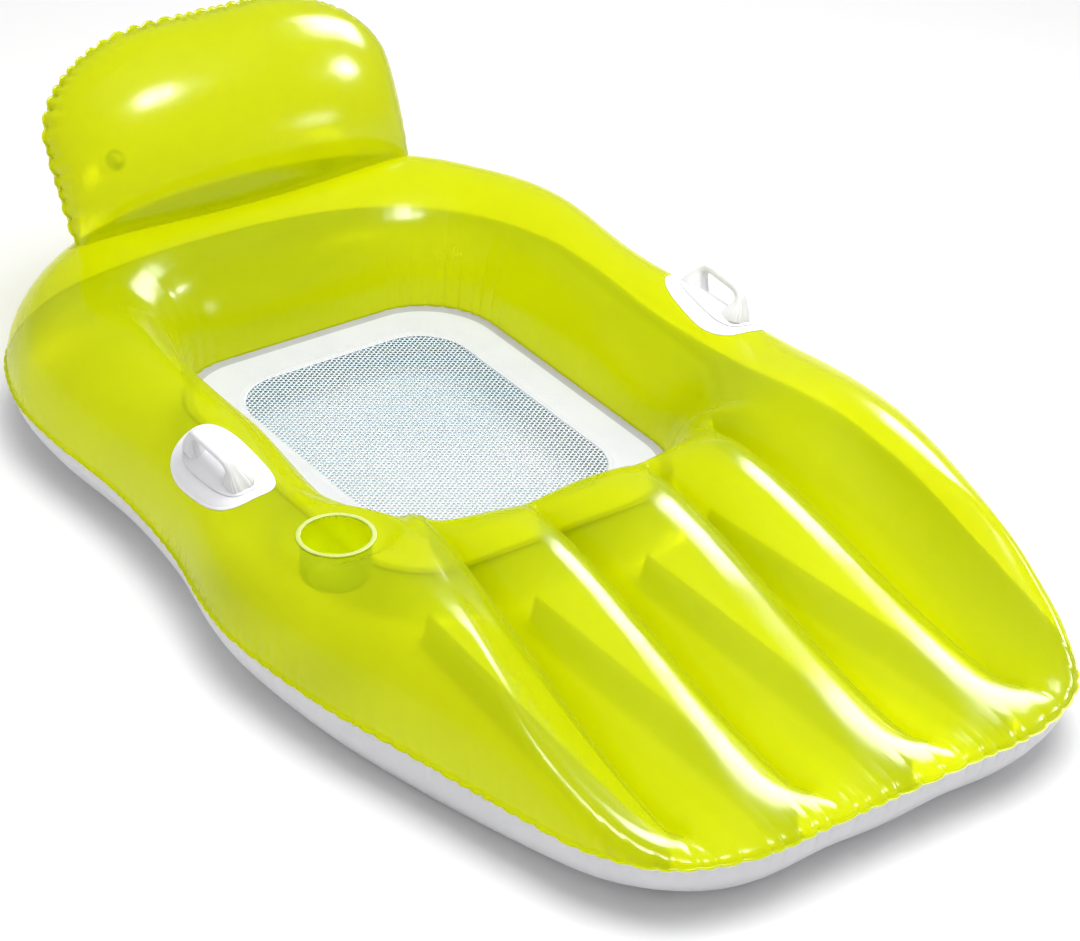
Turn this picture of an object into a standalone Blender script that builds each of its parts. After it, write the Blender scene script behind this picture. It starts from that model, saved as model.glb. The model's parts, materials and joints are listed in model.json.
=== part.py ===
"""Inflatable pool lounge chair: every piece of the float at its real size.

Metres, +Z up. The origin lies on the floor under the middle of the float, the leg section points
to -Y, the backrest stands at +Y, and the cup holder is on the -X side.
"""
import math

import bmesh
import bpy
import numpy as np
from mathutils import Matrix, Vector
from mathutils.bvhtree import BVHTree

# Film and fits
FILM = 0.00042
GAP = 0.0003
OVERRUN = 0.02

# Body outline, measured at the outer seam
BODY_WIDTH = 1.03
BODY_LENGTH = 1.634
SEAM_HEIGHT = 0.09
SEAM_MARGIN = 0.004
CURVE_STEPS = 24
OUTWARD_SHARE = 0.004
OUTLINE_SAMPLES = 600
OUTLINE_SHARES = (
    (0.0, 1.0), (0.3, 0.988), (0.565, 0.942), (0.79, 0.83), (0.9, 0.68), (0.922, 0.53),
    (0.905, 0.32), (0.93, 0.12), (0.985, -0.04), (1.0, -0.16), (0.965, -0.35), (0.895, -0.53),
    (0.812, -0.742), (0.752, -0.862), (0.632, -0.955), (0.435, -0.998), (0.2, -1.0), (0.0, -1.0),
)

# Where the rays over the sheets change their spacing, as shares of the half width and half length
REAR_TURN_SHARES = (0.78, 0.845)
SIDE_SHARES = (0.92, 0.48)
WAIST_SHARES = (0.91, 0.24)
HIP_SHARES = (1.0, -0.12)
LEG_SHARES = (0.82, -0.73)

# Seat opening, border and net
SEAT_WIDTH = 0.52
SEAT_REAR_SHARE = 0.6304
SEAT_FRONT_SHARE = -0.1383
SEAT_CORNER = 0.12
SEAT_CORNER_STEPS = 6
SEAT_HEIGHT = 0.065
BORDER_WIDTH = 0.074
NET_HEM = 0.008
NET_CORNER = 0.08
NET_THICKNESS = 0.0006
NET_COLUMNS = 7
NET_ROWS = 8
NET_STRAND = 0.009

# Air: how far each sheet bulges for the half width of its tube. The top sheet has three shares for
# each ray: next to the outer seam, half way in and next to the seat seam.
REAR_BULGE_SHARES = (1.15, 1.15, 1.15)
CORNER_BULGE_SHARES = (1.15, 1.15, 1.15)
SIDE_BULGE_SHARES = (1.4, 1.4, 1.4)
HIP_BULGE_SHARES = (1.1, 0.98, 0.98)
LEG_BULGE_SHARES = (1.6, 1.05, 0.9)
CHANNEL_BULGE_SHARES = (0.25, 0.8, 1.25)
BOTTOM_BULGE_SHARE = 0.78
BOTTOM_REAR_BULGE_SHARE = 0.56
BOTTOM_FOOT_BULGE_SHARE = 1.0
FLAT_DEPTH = 0.0005

# Channel webs of the leg section
WEB_SPACING_SHARE = 0.1825
WEB_PAIRS = 2
WEB_SEAT_SHARES = (0.9, 0.3615)
WEB_FOOT_TOP = 0.068
WEB_REAR_TOP = 0.15
WEB_BOTTOM = 0.05
WEB_END_ROWS = (2, 7)

# Grid of the two body sheets: rays run from the outer seam to the seat seam
ROWS = 9
REAR_RAYS = 3
CORNER_RAYS = 3
SIDE_RAYS = 2
WAIST_RAYS = 2
HIP_RAYS = 4
LEG_RAYS = 3
CHANNEL_RAYS = 4

# Backrest
BACK_HALF_BASE = 0.288
BACK_FULL_SHARE = 1.0139
BACK_TOP_SHARE = 0.2778
BACK_HEIGHT = 0.296
BACK_WIDEST_SHARE = 0.54
BACK_ALONG_SHARE = 0.8225
BACK_SINK = 0.0314
BACK_LEAN_DEG = 30.0
BACK_BASE_DEPTH = 0.036
BACK_BULGE_SHARE = 0.72
BACK_COLUMNS = 16
BACK_ROWS = 10
BACK_MARGIN = 0.004
BACK_FLOOR_MARGIN = 0.006

# Cup holder
CUP_ACROSS_SHARE = 0.4824
CUP_ALONG_SHARE = -0.18
CUP_BORE = 0.092
CUP_DEPTH = 0.062
CUP_WALL = 0.0009
CUP_RING_WIDTH = 0.0065
CUP_RING_THICKNESS = 0.0028
CUP_LAND = 0.06
CUP_SINK = 0.003
CUP_SIDES = 32

# Handles
HANDLE_ACROSS_SHARE = 0.6196
HANDLE_ALONG_SHARE = 0.104
PATCH_LENGTH = 0.185
PATCH_WIDTH = 0.112
PATCH_THICKNESS = 0.0012
PATCH_REACH_SHARE = 0.7
PLATE_LENGTH = 0.15
PLATE_WIDTH = 0.072
PLATE_THICKNESS = 0.0025
GRIP_SPAN = 0.112
GRIP_HEIGHT = 0.046
GRIP_WIDTH = 0.017
GRIP_THICKNESS = 0.009
GRIP_SQUARE_SHARE = 0.7
HANDLE_SQUARE = 2.6
HANDLE_SIDES = 28
GRIP_STEPS = 17
GRIP_EDGE_DEG = 50.0

# Valves
VALVE_FLANGE_RADIUS = 0.0165
VALVE_FLANGE_THICKNESS = 0.0012
COLLAR_RADIUS = 0.0098
COLLAR_HEIGHT = 0.004
STEM_RADIUS = 0.0068
STEM_BORE = 0.0036
STEM_HEIGHT = 0.016
LIP_RADIUS = 0.0082
LIP_THICKNESS = 0.0016
FLAP_RADIUS = 0.0056
FLAP_THICKNESS = 0.0008
PLUG_HEAD_RADIUS = 0.0066
PLUG_HEAD_THICKNESS = 0.002
PLUG_PIN_LENGTH = 0.005
PLUG_PIN_RADIUS = 0.0031
PLUG_TIP_RADIUS = 0.0021
STRAP_LENGTH = 0.013
STRAP_WIDTH = 0.004
STRAP_THICKNESS = 0.001
BODY_VALVE_ACROSS_SHARE = 0.3689
BODY_VALVE_CLEARANCE = 0.044
BACK_VALVE_ACROSS_SHARE = -0.5208
BACK_VALVE_RISE_SHARE = 0.4
ROUND_SIDES = 24

# Places that follow from the sizes
SEAT_REAR_Y = SEAT_REAR_SHARE * BODY_LENGTH / 2
SEAT_FRONT_Y = SEAT_FRONT_SHARE * BODY_LENGTH / 2
TUBE_ROOM = (BODY_WIDTH - SEAT_WIDTH) / 2
CUP_X = -SEAT_WIDTH / 2 - CUP_ACROSS_SHARE * TUBE_ROOM
CUP_Y = CUP_ALONG_SHARE * BODY_LENGTH / 2
HANDLE_X = SEAT_WIDTH / 2 + HANDLE_ACROSS_SHARE * TUBE_ROOM
HANDLE_Y = HANDLE_ALONG_SHARE * BODY_LENGTH / 2
BODY_VALVE_X = BODY_VALVE_ACROSS_SHARE * BODY_WIDTH / 2
BACK_Y = BACK_ALONG_SHARE * BODY_LENGTH / 2
BODY_VALVE_Y = BACK_Y + BACK_BASE_DEPTH + BODY_VALVE_CLEARANCE
BACK_HALF_WIDTH = BACK_FULL_SHARE * BACK_HALF_BASE
BACK_TOP_HALF = BACK_TOP_SHARE * BACK_HALF_BASE
BACK_VALVE_X = BACK_VALVE_ACROSS_SHARE * BACK_HALF_BASE

# Looks
SHARP_EDGE_DEG = 35.0
GLOSS = 0.25
SATIN = 0.35

LIME = (0.62, 0.72, 0.0, 1.0)
WEB_LIME = (0.5, 0.6, 0.05, 1.0)
WHITE = (0.82, 0.82, 0.84, 1.0)
NET_WHITE = (0.78, 0.82, 0.86, 1.0)
CLEAR_WHITE = (0.86, 0.9, 0.84, 1.0)


def clear_scene():
    """Empty the scene and drop what it leaves behind."""
    for found in list(bpy.data.objects):
        bpy.data.objects.remove(found, do_unlink=True)


def material(name, color, roughness):
    """Return a plain Principled material."""
    made = bpy.data.materials.new(name)
    made.use_nodes = True
    shader = made.node_tree.nodes["Principled BSDF"]
    shader.inputs["Base Color"].default_value = color
    shader.inputs["Roughness"].default_value = roughness
    shader.inputs["Metallic"].default_value = 0.0
    return made


def add_object(name, verts, faces, color=None, roughness=GLOSS):
    """Make a mesh object from points and faces; with no color it is a hidden cutter."""
    mesh = bpy.data.meshes.new(name)
    mesh.from_pydata([tuple(float(c) for c in v) for v in verts], [], [list(map(int, f)) for f in faces])
    made = bpy.data.objects.new(name, mesh)
    bpy.context.scene.collection.objects.link(made)
    if color is None:
        made.hide_render = True
        made.display_type = "WIRE"
    else:
        mesh.materials.append(material(name, color, roughness))
        mesh.shade_smooth()
        mesh.set_sharp_from_angle(angle=math.radians(SHARP_EDGE_DEG))
    return made


def boolean(target, cutter, operation="DIFFERENCE"):
    """Cut, cross or join one object with another."""
    step = target.modifiers.new(cutter.name, "BOOLEAN")
    step.operation = operation
    step.object = cutter
    step.solver = "EXACT"


def solidify(target, thickness):
    """Give an open sheet its film thickness, outside the surface it was drawn on."""
    step = target.modifiers.new("film", "SOLIDIFY")
    step.thickness = thickness
    step.offset = 1.0
    step.use_even_offset = True


def smooth_curve(points, steps):
    """Catmull-Rom curve through a half outline, mirrored at both ends."""
    pts = np.array(points, float)
    first = pts[1] * (-1.0, 1.0)
    last = pts[-2] * (-1.0, 1.0)
    pts = np.vstack([first, pts, last])
    t = np.linspace(0.0, 1.0, steps, endpoint=False)[:, None]
    runs = []
    for i in range(1, len(pts) - 2):
        a, b, c, d = pts[i - 1:i + 3]
        runs.append(0.5 * (2 * b + (c - a) * t + (2 * a - 5 * b + 4 * c - d) * t ** 2
                           + (3 * b - a - 3 * c + d) * t ** 3))
    return np.vstack(runs + [pts[-2:-1]])


def rounded_half(half_width, rear_y, front_y, radius, steps):
    """Right half of a rounded rectangle, from its rear middle to its front middle."""
    turn = np.linspace(0.0, math.pi / 2, steps)
    rear = np.c_[half_width - radius + radius * np.sin(turn), rear_y - radius + radius * np.cos(turn)]
    front = np.c_[half_width - radius + radius * np.cos(turn), front_y + radius - radius * np.sin(turn)]
    return np.vstack([[0.0, rear_y], rear, front, [0.0, front_y]])


class HalfOutline:
    """A half outline that is read by its share of the length, from rear to foot."""

    def __init__(self, points):
        runs = np.hypot(*np.diff(points, axis=0).T)
        length = np.concatenate([[0.0], np.cumsum(runs)])
        self.share = np.linspace(0.0, 1.0, OUTLINE_SAMPLES)
        walked = self.share * length[-1]
        self.points = np.array([np.interp(walked, length, points[:, k]) for k in (0, 1)]).T

    def at(self, share):
        """Point at a share of the length."""
        return np.array([np.interp(share, self.share, self.points[:, k]) for k in (0, 1)])

    def outward(self, share):
        """Unit normal that points away from the middle of the float."""
        ahead = self.at(min(1.0, share + OUTWARD_SHARE))
        behind = self.at(max(0.0, share - OUTWARD_SHARE))
        run = ahead - behind
        if share < OUTWARD_SHARE or share > 1.0 - OUTWARD_SHARE:
            run = np.array([1.0 if share < OUTWARD_SHARE else -1.0, 0.0])
        run = run / np.hypot(*run)
        return np.array([-run[1], run[0]])

    def nearest(self, point):
        """Share of the outline's point that lies nearest to a point."""
        gaps = np.hypot(*(self.points - point).T)
        return float(self.share[gaps.argmin()])

    def crossing(self, x):
        """Share on the foot side where the outline comes back to a distance from the middle line."""
        back = self.points[::-1, 0]
        stop = int(np.argmax(back >= x))
        part = (x - back[stop - 1]) / (back[stop] - back[stop - 1])
        share = self.share[::-1]
        return float(share[stop - 1] + (share[stop] - share[stop - 1]) * part)


def body_outlines():
    """Outer seam and seat seam as half outlines."""
    scale = (BODY_WIDTH / 2, BODY_LENGTH / 2)
    outer = HalfOutline(smooth_curve(np.array(OUTLINE_SHARES) * scale, CURVE_STEPS))
    seat = HalfOutline(rounded_half(SEAT_WIDTH / 2, SEAT_REAR_Y, SEAT_FRONT_Y, SEAT_CORNER, CURVE_STEPS))
    return outer, seat


def ray_anchors(outer, seat):
    """Places where the rays change: outer share, seat share, rays, bottom bulge and top bulges."""
    scale = np.array((BODY_WIDTH, BODY_LENGTH)) / 2
    half = SEAT_WIDTH / 2
    turn = SEAT_CORNER * (1.0 - math.sqrt(0.5))
    middle_y = (SEAT_REAR_Y + SEAT_FRONT_Y) / 2
    web_outer = WEB_SPACING_SHARE * BODY_WIDTH * (WEB_PAIRS - 0.5)
    web_inner = WEB_SPACING_SHARE * BODY_WIDTH * 0.5
    hip_seat = seat.nearest((half, SEAT_FRONT_Y + SEAT_CORNER))
    web_seat = seat.crossing(half * WEB_SEAT_SHARES[0])
    leg_seat = hip_seat + (web_seat - hip_seat) * HIP_RAYS / (HIP_RAYS + LEG_RAYS)
    return (
        (0.0, 0.0, REAR_RAYS, BOTTOM_REAR_BULGE_SHARE, *REAR_BULGE_SHARES),
        (outer.nearest(scale * REAR_TURN_SHARES), seat.nearest((half - turn, SEAT_REAR_Y - turn)),
         CORNER_RAYS, BOTTOM_REAR_BULGE_SHARE, *CORNER_BULGE_SHARES),
        (outer.nearest(scale * SIDE_SHARES), seat.nearest((half, SEAT_REAR_Y - SEAT_CORNER)),
         SIDE_RAYS, BOTTOM_BULGE_SHARE, *SIDE_BULGE_SHARES),
        (outer.nearest(scale * WAIST_SHARES), seat.nearest((half, middle_y)),
         WAIST_RAYS, BOTTOM_BULGE_SHARE, *SIDE_BULGE_SHARES),
        (outer.nearest(scale * HIP_SHARES), hip_seat, HIP_RAYS, BOTTOM_BULGE_SHARE, *HIP_BULGE_SHARES),
        (outer.nearest(scale * LEG_SHARES), leg_seat, LEG_RAYS, BOTTOM_FOOT_BULGE_SHARE, *LEG_BULGE_SHARES),
        (outer.crossing(web_outer), web_seat, CHANNEL_RAYS, BOTTOM_FOOT_BULGE_SHARE, *CHANNEL_BULGE_SHARES),
        (outer.crossing(web_inner), seat.crossing(half * WEB_SEAT_SHARES[1]),
         CHANNEL_RAYS // 2, BOTTOM_FOOT_BULGE_SHARE, *CHANNEL_BULGE_SHARES),
        (1.0, 1.0, 0, BOTTOM_FOOT_BULGE_SHARE, *CHANNEL_BULGE_SHARES),
    )


def half_rays(outer, seat):
    """One row a ray, rear to foot: outer share, seat share, bottom bulge and three top bulges."""
    anchors = np.array(ray_anchors(outer, seat))
    rows = []
    for here, there in zip(anchors[:-1], anchors[1:]):
        steps = int(here[2])
        rows += [here + (there - here) * k / steps for k in range(steps)]
    rows.append(anchors[-1])
    return np.delete(np.array(rows), 2, axis=1)


def web_rays(ray_count):
    """Numbers of the four rays that carry a web."""
    inner = ray_count - CHANNEL_RAYS // 2
    outer = inner - CHANNEL_RAYS
    whole = 2 * ray_count
    return (outer, inner, whole - inner, whole - outer)


def membrane(points, quads, fixed, values, load):
    """Solve a stretched membrane over a flat grid: values held at the fixed points, load elsewhere."""
    count = len(points)
    stiffness = np.zeros((count, count))
    share = np.zeros(count)
    q = np.array(quads)
    for corners in ((0, 1, 2), (0, 2, 3), (1, 2, 3), (1, 3, 0)):
        tri = q[:, corners]
        p = points[tri]
        first = p[:, 1] - p[:, 0]
        second = p[:, 2] - p[:, 0]
        area = np.abs(first[:, 0] * second[:, 1] - first[:, 1] * second[:, 0]) / 2
        for i in range(3):
            np.add.at(share, tri[:, i], area / 6)
            for j in range(3):
                side_i = p[:, (i + 2) % 3] - p[:, (i + 1) % 3]
                side_j = p[:, (j + 2) % 3] - p[:, (j + 1) % 3]
                np.add.at(stiffness, (tri[:, i], tri[:, j]), (side_i * side_j).sum(1) / (8 * area))
    free = np.setdiff1d(np.arange(count), fixed)
    field = np.zeros(count)
    field[fixed] = values
    push = load * share[free] - stiffness[np.ix_(free, fixed)] @ field[fixed]
    field[free] = np.linalg.solve(stiffness[np.ix_(free, free)], push)
    return field


def ease(t):
    """Smooth step from 0 to 1."""
    t = np.clip(t, 0.0, 1.0)
    return t * t * (3.0 - 2.0 * t)


class BodyGrid:
    """The grid that both body sheets share: rays around the float, rows from seam to seat."""

    def __init__(self):
        outer, seat = body_outlines()
        rays = half_rays(outer, seat)
        self.half_count = len(rays) - 1
        mirrored = [(row, 1.0) for row in rays] + [(row, -1.0) for row in rays[-2:0:-1]]
        self.count = len(mirrored)
        flip = np.array([[side, 1.0] for _, side in mirrored])
        self.rim = np.array([outer.at(row[0]) for row, _ in mirrored]) * flip
        self.rim_out = np.array([outer.outward(row[0]) for row, _ in mirrored]) * flip
        self.seat = np.array([seat.at(row[1]) for row, _ in mirrored]) * flip
        self.seat_in = -np.array([seat.outward(row[1]) for row, _ in mirrored]) * flip
        self.rows = (1.0 - np.cos(np.linspace(0.0, math.pi, ROWS + 1))) / 2
        self.top_bulge = np.array([np.interp(self.rows, (0.0, 0.5, 1.0), row[3:]) for row, _ in mirrored])
        self.bottom_bulge = np.array([row[2] for row, _ in mirrored])
        self.flat = self.rim[:, None] + (self.seat - self.rim)[:, None] * self.rows[None, :, None]
        self.webs = web_rays(self.half_count)

    def index(self, ray, row, rows):
        """Number of a grid point."""
        return (ray % self.count) * rows + row

    def quads(self, rows):
        """Faces of a ring of points with so many rows."""
        return [(self.index(r, k, rows), self.index(r, k + 1, rows),
                 self.index(r + 1, k + 1, rows), self.index(r + 1, k, rows))
                for r in range(self.count) for k in range(rows - 1)]

    def web_rows(self):
        """Rows that a web reaches, foot end first."""
        return range(WEB_END_ROWS[0], WEB_END_ROWS[1] + 1)

    def web_top(self, row):
        """Height of a valley of the top sheet: low at the foot end, high near the seat."""
        first, last = WEB_END_ROWS
        span = self.rows[last] - self.rows[first]
        share = ease((self.rows[row] - self.rows[first]) / span)
        return WEB_FOOT_TOP + (WEB_REAR_TOP - WEB_FOOT_TOP) * share

    def fields(self, web_height):
        """Carrying height between the seams and webs, and the swell that air gives above it."""
        rows = ROWS + 1
        points = self.flat.reshape(-1, 2)
        held = {}
        for ray in range(self.count):
            held[self.index(ray, 0, rows)] = SEAM_HEIGHT
            held[self.index(ray, ROWS, rows)] = SEAT_HEIGHT
        for ray in self.webs:
            for row in self.web_rows():
                held[self.index(ray, row, rows)] = web_height(row)
        fixed = np.array(sorted(held))
        base = membrane(points, self.quads(rows), fixed, [held[i] for i in fixed], 0.0)
        swell = membrane(points, self.quads(rows), fixed, np.zeros(len(fixed)), 1.0)
        shape = (self.count, rows)
        return base.reshape(shape), np.sqrt(2.0 * np.maximum(swell, 0.0)).reshape(shape)

    def top_heights(self):
        """Heights of the top sheet's lower face."""
        base, swell = self.fields(self.web_top)
        height = base + self.top_bulge * swell + GAP
        return self.flatten_for_cup(height)

    def flatten_for_cup(self, height):
        """Draw the sheet flat round the cup's mouth."""
        away = np.hypot(self.flat[..., 0] - CUP_X, self.flat[..., 1] - CUP_Y)
        pull = ease((2.0 * CUP_LAND - away) / CUP_LAND)
        weight = np.exp(-(away / CUP_LAND) ** 2)
        level = (height * weight).sum() / weight.sum() - CUP_SINK
        return height + (level - height) * pull

    def bottom_heights(self):
        """Heights of the bottom sheet's upper face, flat where the float rests."""
        base, swell = self.fields(lambda row: WEB_BOTTOM)
        height = base - self.bottom_bulge[:, None] * swell
        return np.maximum(height - FLAT_DEPTH, FILM)

    def ring(self, heights, rim_height, seat_height):
        """Points of a sheet with its flat seam margins at both ends."""
        sheet = np.concatenate([self.flat, heights[..., None]], axis=2)
        rim = np.c_[self.rim + self.rim_out * SEAM_MARGIN, np.full(self.count, rim_height)]
        seat = np.c_[self.seat + self.seat_in * SEAM_MARGIN, np.full(self.count, seat_height)]
        sheet[:, 0, 2] = rim_height
        sheet[:, -1, 2] = seat_height
        return np.concatenate([rim[:, None], sheet, seat[:, None]], axis=1)


def top_seat_height():
    """Height of the top sheet's margin above the borders and the net that it is welded to."""
    return SEAT_HEIGHT + 4 * GAP + 2 * FILM + NET_THICKNESS


def make_sheet(name, grid, points, upward, color):
    """Build one body sheet from its ring of points."""
    places = points.reshape(-1, 3)
    faces = triangles(grid.quads(points.shape[1]), places)
    if not upward:
        faces = [face[::-1] for face in faces]
    made = add_object(name, places, faces, color)
    solidify(made, FILM)
    return made


def top_points(grid):
    """Lower face of the top sheet."""
    return grid.ring(grid.top_heights(), SEAM_HEIGHT + GAP, top_seat_height())


def bottom_points(grid):
    """Upper face of the bottom sheet."""
    return grid.ring(grid.bottom_heights(), SEAM_HEIGHT, SEAT_HEIGHT)


def triangles(quads, points):
    """Split four-sided faces along a diagonal that is mirrored with the float."""
    split = []
    for a, b, c, d in quads:
        if points[a][0] + points[c][0] >= 0.0:
            split += [(a, b, c), (a, c, d)]
        else:
            split += [(b, c, d), (b, d, a)]
    return split


def vertex_normals(points, faces):
    """Unit vertex normals of a sheet of triangles."""
    corners = np.array(faces)
    p = points[corners]
    across = np.cross(p[:, 1] - p[:, 0], p[:, 2] - p[:, 0])
    across /= np.linalg.norm(across, axis=1)[:, None]
    normals = np.zeros_like(points)
    for k in range(3):
        side = p[:, (k + 1) % 3] - p[:, k]
        other = p[:, (k + 2) % 3] - p[:, k]
        cosine = (side * other).sum(1) / np.linalg.norm(side, axis=1) / np.linalg.norm(other, axis=1)
        np.add.at(normals, corners[:, k], across * np.arccos(np.clip(cosine, -1.0, 1.0))[:, None])
    return normals / np.linalg.norm(normals, axis=1)[:, None]


class Surface:
    """A drawn sheet that other pieces are seated on; its film lies outside the drawn face."""

    def __init__(self, points, faces):
        self.points = points
        self.faces = faces
        self.normals = vertex_normals(points, faces)
        self.tree = BVHTree.FromPolygons([Vector(p) for p in points], faces)

    def seat(self, start, direction):
        """Frame on the film's outer face, where a line from start meets it."""
        place, normal, _, _ = self.tree.ray_cast(Vector(start), Vector(direction))
        normal = -normal if normal.dot(Vector(direction)) > 0.0 else normal
        return seat_frame(place + normal * FILM, normal)

    def patch(self, place, reach):
        """Faces within reach of a place, with their points numbered afresh."""
        near = np.linalg.norm(self.points - np.array(place), axis=1) < reach
        faces = [face for face in self.faces if any(near[i] for i in face)]
        used = sorted({i for face in faces for i in face})
        number = {old: new for new, old in enumerate(used)}
        return used, [tuple(number[i] for i in face) for face in faces]

    def layer(self, name, place, reach, low, high):
        """Closed layer between two offsets from the film's outer face."""
        used, faces = self.patch(place, reach)
        lower = self.points[used] + self.normals[used] * (FILM + low)
        upper = self.points[used] + self.normals[used] * (FILM + high)
        return closed_layer(name, lower, upper, faces)

    def block(self, name, place, reach, lift, push):
        """Closed block that starts at an offset from the film and is pushed straight along a vector."""
        used, faces = self.patch(place, reach)
        start = self.points[used] + self.normals[used] * (FILM + lift)
        end = start + np.array(push)
        mean = self.normals[used].mean(axis=0)
        if mean @ np.array(push) > 0.0:
            return closed_layer(name, start, end, faces)
        return closed_layer(name, end, start, faces)


def closed_layer(name, lower, upper, faces):
    """Close two like sheets into one solid."""
    count = len(lower)
    solid = [tuple(i + count for i in face) for face in faces]
    solid += [face[::-1] for face in faces]
    runs = {(a, b) for face in faces for a, b in zip(face, face[1:] + face[:1])}
    for a, b in sorted(runs):
        if (b, a) not in runs:
            solid += [(a, b, b + count), (a, b + count, a + count)]
    return add_object(name, np.vstack([lower, upper]), solid)


def prism(name, outline, low, high, frame, color=None):
    """Closed prism over a flat outline, placed by a frame."""
    count = len(outline)
    verts = [frame @ Vector((p[0], p[1], low)) for p in outline]
    verts += [frame @ Vector((p[0], p[1], high)) for p in outline]
    faces = [tuple(range(count))[::-1], tuple(range(count, 2 * count))]
    faces += [(k, (k + 1) % count, (k + 1) % count + count, k + count) for k in range(count)]
    return add_object(name, verts, faces, color)


def oval(length, width, power, steps):
    """Closed outline of a rounded oval, long along Y; a higher power makes it squarer."""
    turn = np.arange(steps) * 2 * math.pi / steps
    c, s = np.cos(turn), np.sin(turn)
    return np.c_[np.sign(c) * np.abs(c) ** (2 / power) * width / 2,
                 np.sign(s) * np.abs(s) ** (2 / power) * length / 2]


def circle(radius, steps=ROUND_SIDES):
    """Closed circle outline."""
    turn = np.arange(steps) * 2 * math.pi / steps
    return np.c_[np.cos(turn), np.sin(turn)] * radius


def turned(name, profile, frame, color=None, steps=ROUND_SIDES):
    """Closed turned piece: a closed profile of radius and height, walked outer side upward."""
    verts, faces = [], []
    count = len(profile)
    for k in range(steps):
        turn = 2 * math.pi * k / steps
        verts += [frame @ Vector((r * math.cos(turn), r * math.sin(turn), z)) for r, z in profile]
    for k in range(steps):
        ahead = (k + 1) % steps
        for i in range(count):
            j = (i + 1) % count
            if profile[i][0] > 0.0 or profile[j][0] > 0.0:
                faces.append((k * count + i, ahead * count + i, ahead * count + j, k * count + j))
    made = add_object(name, verts, faces, color)
    close_poles(made, frame)
    return made


def close_poles(made, frame):
    """Weld the points of a turned piece that lie on its axis."""
    work = bmesh.new()
    work.from_mesh(made.data)
    inverse = frame.inverted()
    poles = [v for v in work.verts if (inverse @ v.co).xy.length < GAP / 100]
    bmesh.ops.remove_doubles(work, verts=poles, dist=GAP / 100)
    bmesh.ops.dissolve_degenerate(work, edges=work.edges, dist=GAP / 100)
    work.to_mesh(made.data)
    work.free()


def seat_frame(place, normal):
    """Frame that stands on a sheet: Z along the normal, Y as near the float's length as it can be."""
    z = Vector(normal).normalized()
    x = Vector((0.0, 1.0, 0.0)).cross(z).normalized()
    y = z.cross(x)
    frame = Matrix((x, y, z)).transposed().to_4x4()
    frame.translation = place
    return frame


def whole_loop(half):
    """Whole closed outline from its right half, rear middle first."""
    left = half[-2:0:-1] * (-1.0, 1.0)
    return np.vstack([half, left])


def make_flat_ring(name, outer, inner, low, high, color):
    """Flat film ring between two outlines of as many points."""
    count = len(outer)
    verts = [(p[0], p[1], z) for z in (low, high) for loop in (outer, inner) for p in loop]
    faces = []
    for k in range(count):
        n = (k + 1) % count
        bottom_out, bottom_in, top_out, top_in = 0, count, 2 * count, 3 * count
        faces.append((top_out + n, top_out + k, top_in + k, top_in + n))
        faces.append((bottom_out + k, bottom_out + n, bottom_in + n, bottom_in + k))
        faces.append((bottom_out + n, bottom_out + k, top_out + k, top_out + n))
        faces.append((bottom_in + k, bottom_in + n, top_in + n, top_in + k))
    return add_object(name, verts, faces, color, SATIN)


def seat_loops():
    """Seat seam and net edge as closed loops of as many points."""
    half = SEAT_WIDTH / 2
    seam = rounded_half(half, SEAT_REAR_Y, SEAT_FRONT_Y, SEAT_CORNER, SEAT_CORNER_STEPS)
    edge = rounded_half(half - BORDER_WIDTH, SEAT_REAR_Y - BORDER_WIDTH, SEAT_FRONT_Y + BORDER_WIDTH,
                        NET_CORNER, SEAT_CORNER_STEPS)
    return whole_loop(seam), whole_loop(edge)


def make_borders():
    """Two white bands that hold the net's edge between them."""
    seam, edge = seat_loops()
    low = SEAT_HEIGHT + GAP
    make_flat_ring("seat_border_lower", seam, edge, low, low + FILM, WHITE)
    low += FILM + 2 * GAP + NET_THICKNESS
    make_flat_ring("seat_border_upper", seam, edge, low, low + FILM, WHITE)


def net_gaps():
    """Middles of the net's staggered diamond gaps that lie clear of its edge."""
    half = SEAT_WIDTH / 2 - BORDER_WIDTH
    rear = SEAT_REAR_Y - BORDER_WIDTH
    front = SEAT_FRONT_Y + BORDER_WIDTH
    pitch_x = 2 * (half - NET_STRAND) / NET_COLUMNS
    pitch_y = (rear - front - 2 * NET_STRAND) / NET_ROWS
    middles = []
    for row in range(1, 2 * NET_ROWS):
        shift = 0.0 if row % 2 else 0.5
        for column in range(NET_COLUMNS + 1):
            x = -half + NET_STRAND + (column + 0.5 - shift) * pitch_x
            y = front + NET_STRAND + row * pitch_y / 2
            if net_holds(abs(x) + pitch_x / 2, abs(y - (rear + front) / 2) + pitch_y / 2):
                middles.append((x, y))
    return middles, pitch_x, pitch_y


def net_holds(x, y):
    """Whether a corner of a gap, measured from the net's middle, lies inside its rounded edge."""
    half = SEAT_WIDTH / 2 - BORDER_WIDTH
    reach = (SEAT_REAR_Y - SEAT_FRONT_Y) / 2 - BORDER_WIDTH
    if x > half or y > reach:
        return False
    over_x = x - (half - NET_CORNER)
    over_y = y - (reach - NET_CORNER)
    return min(over_x, over_y) < 0.0 or math.hypot(over_x, over_y) < NET_CORNER


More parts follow.
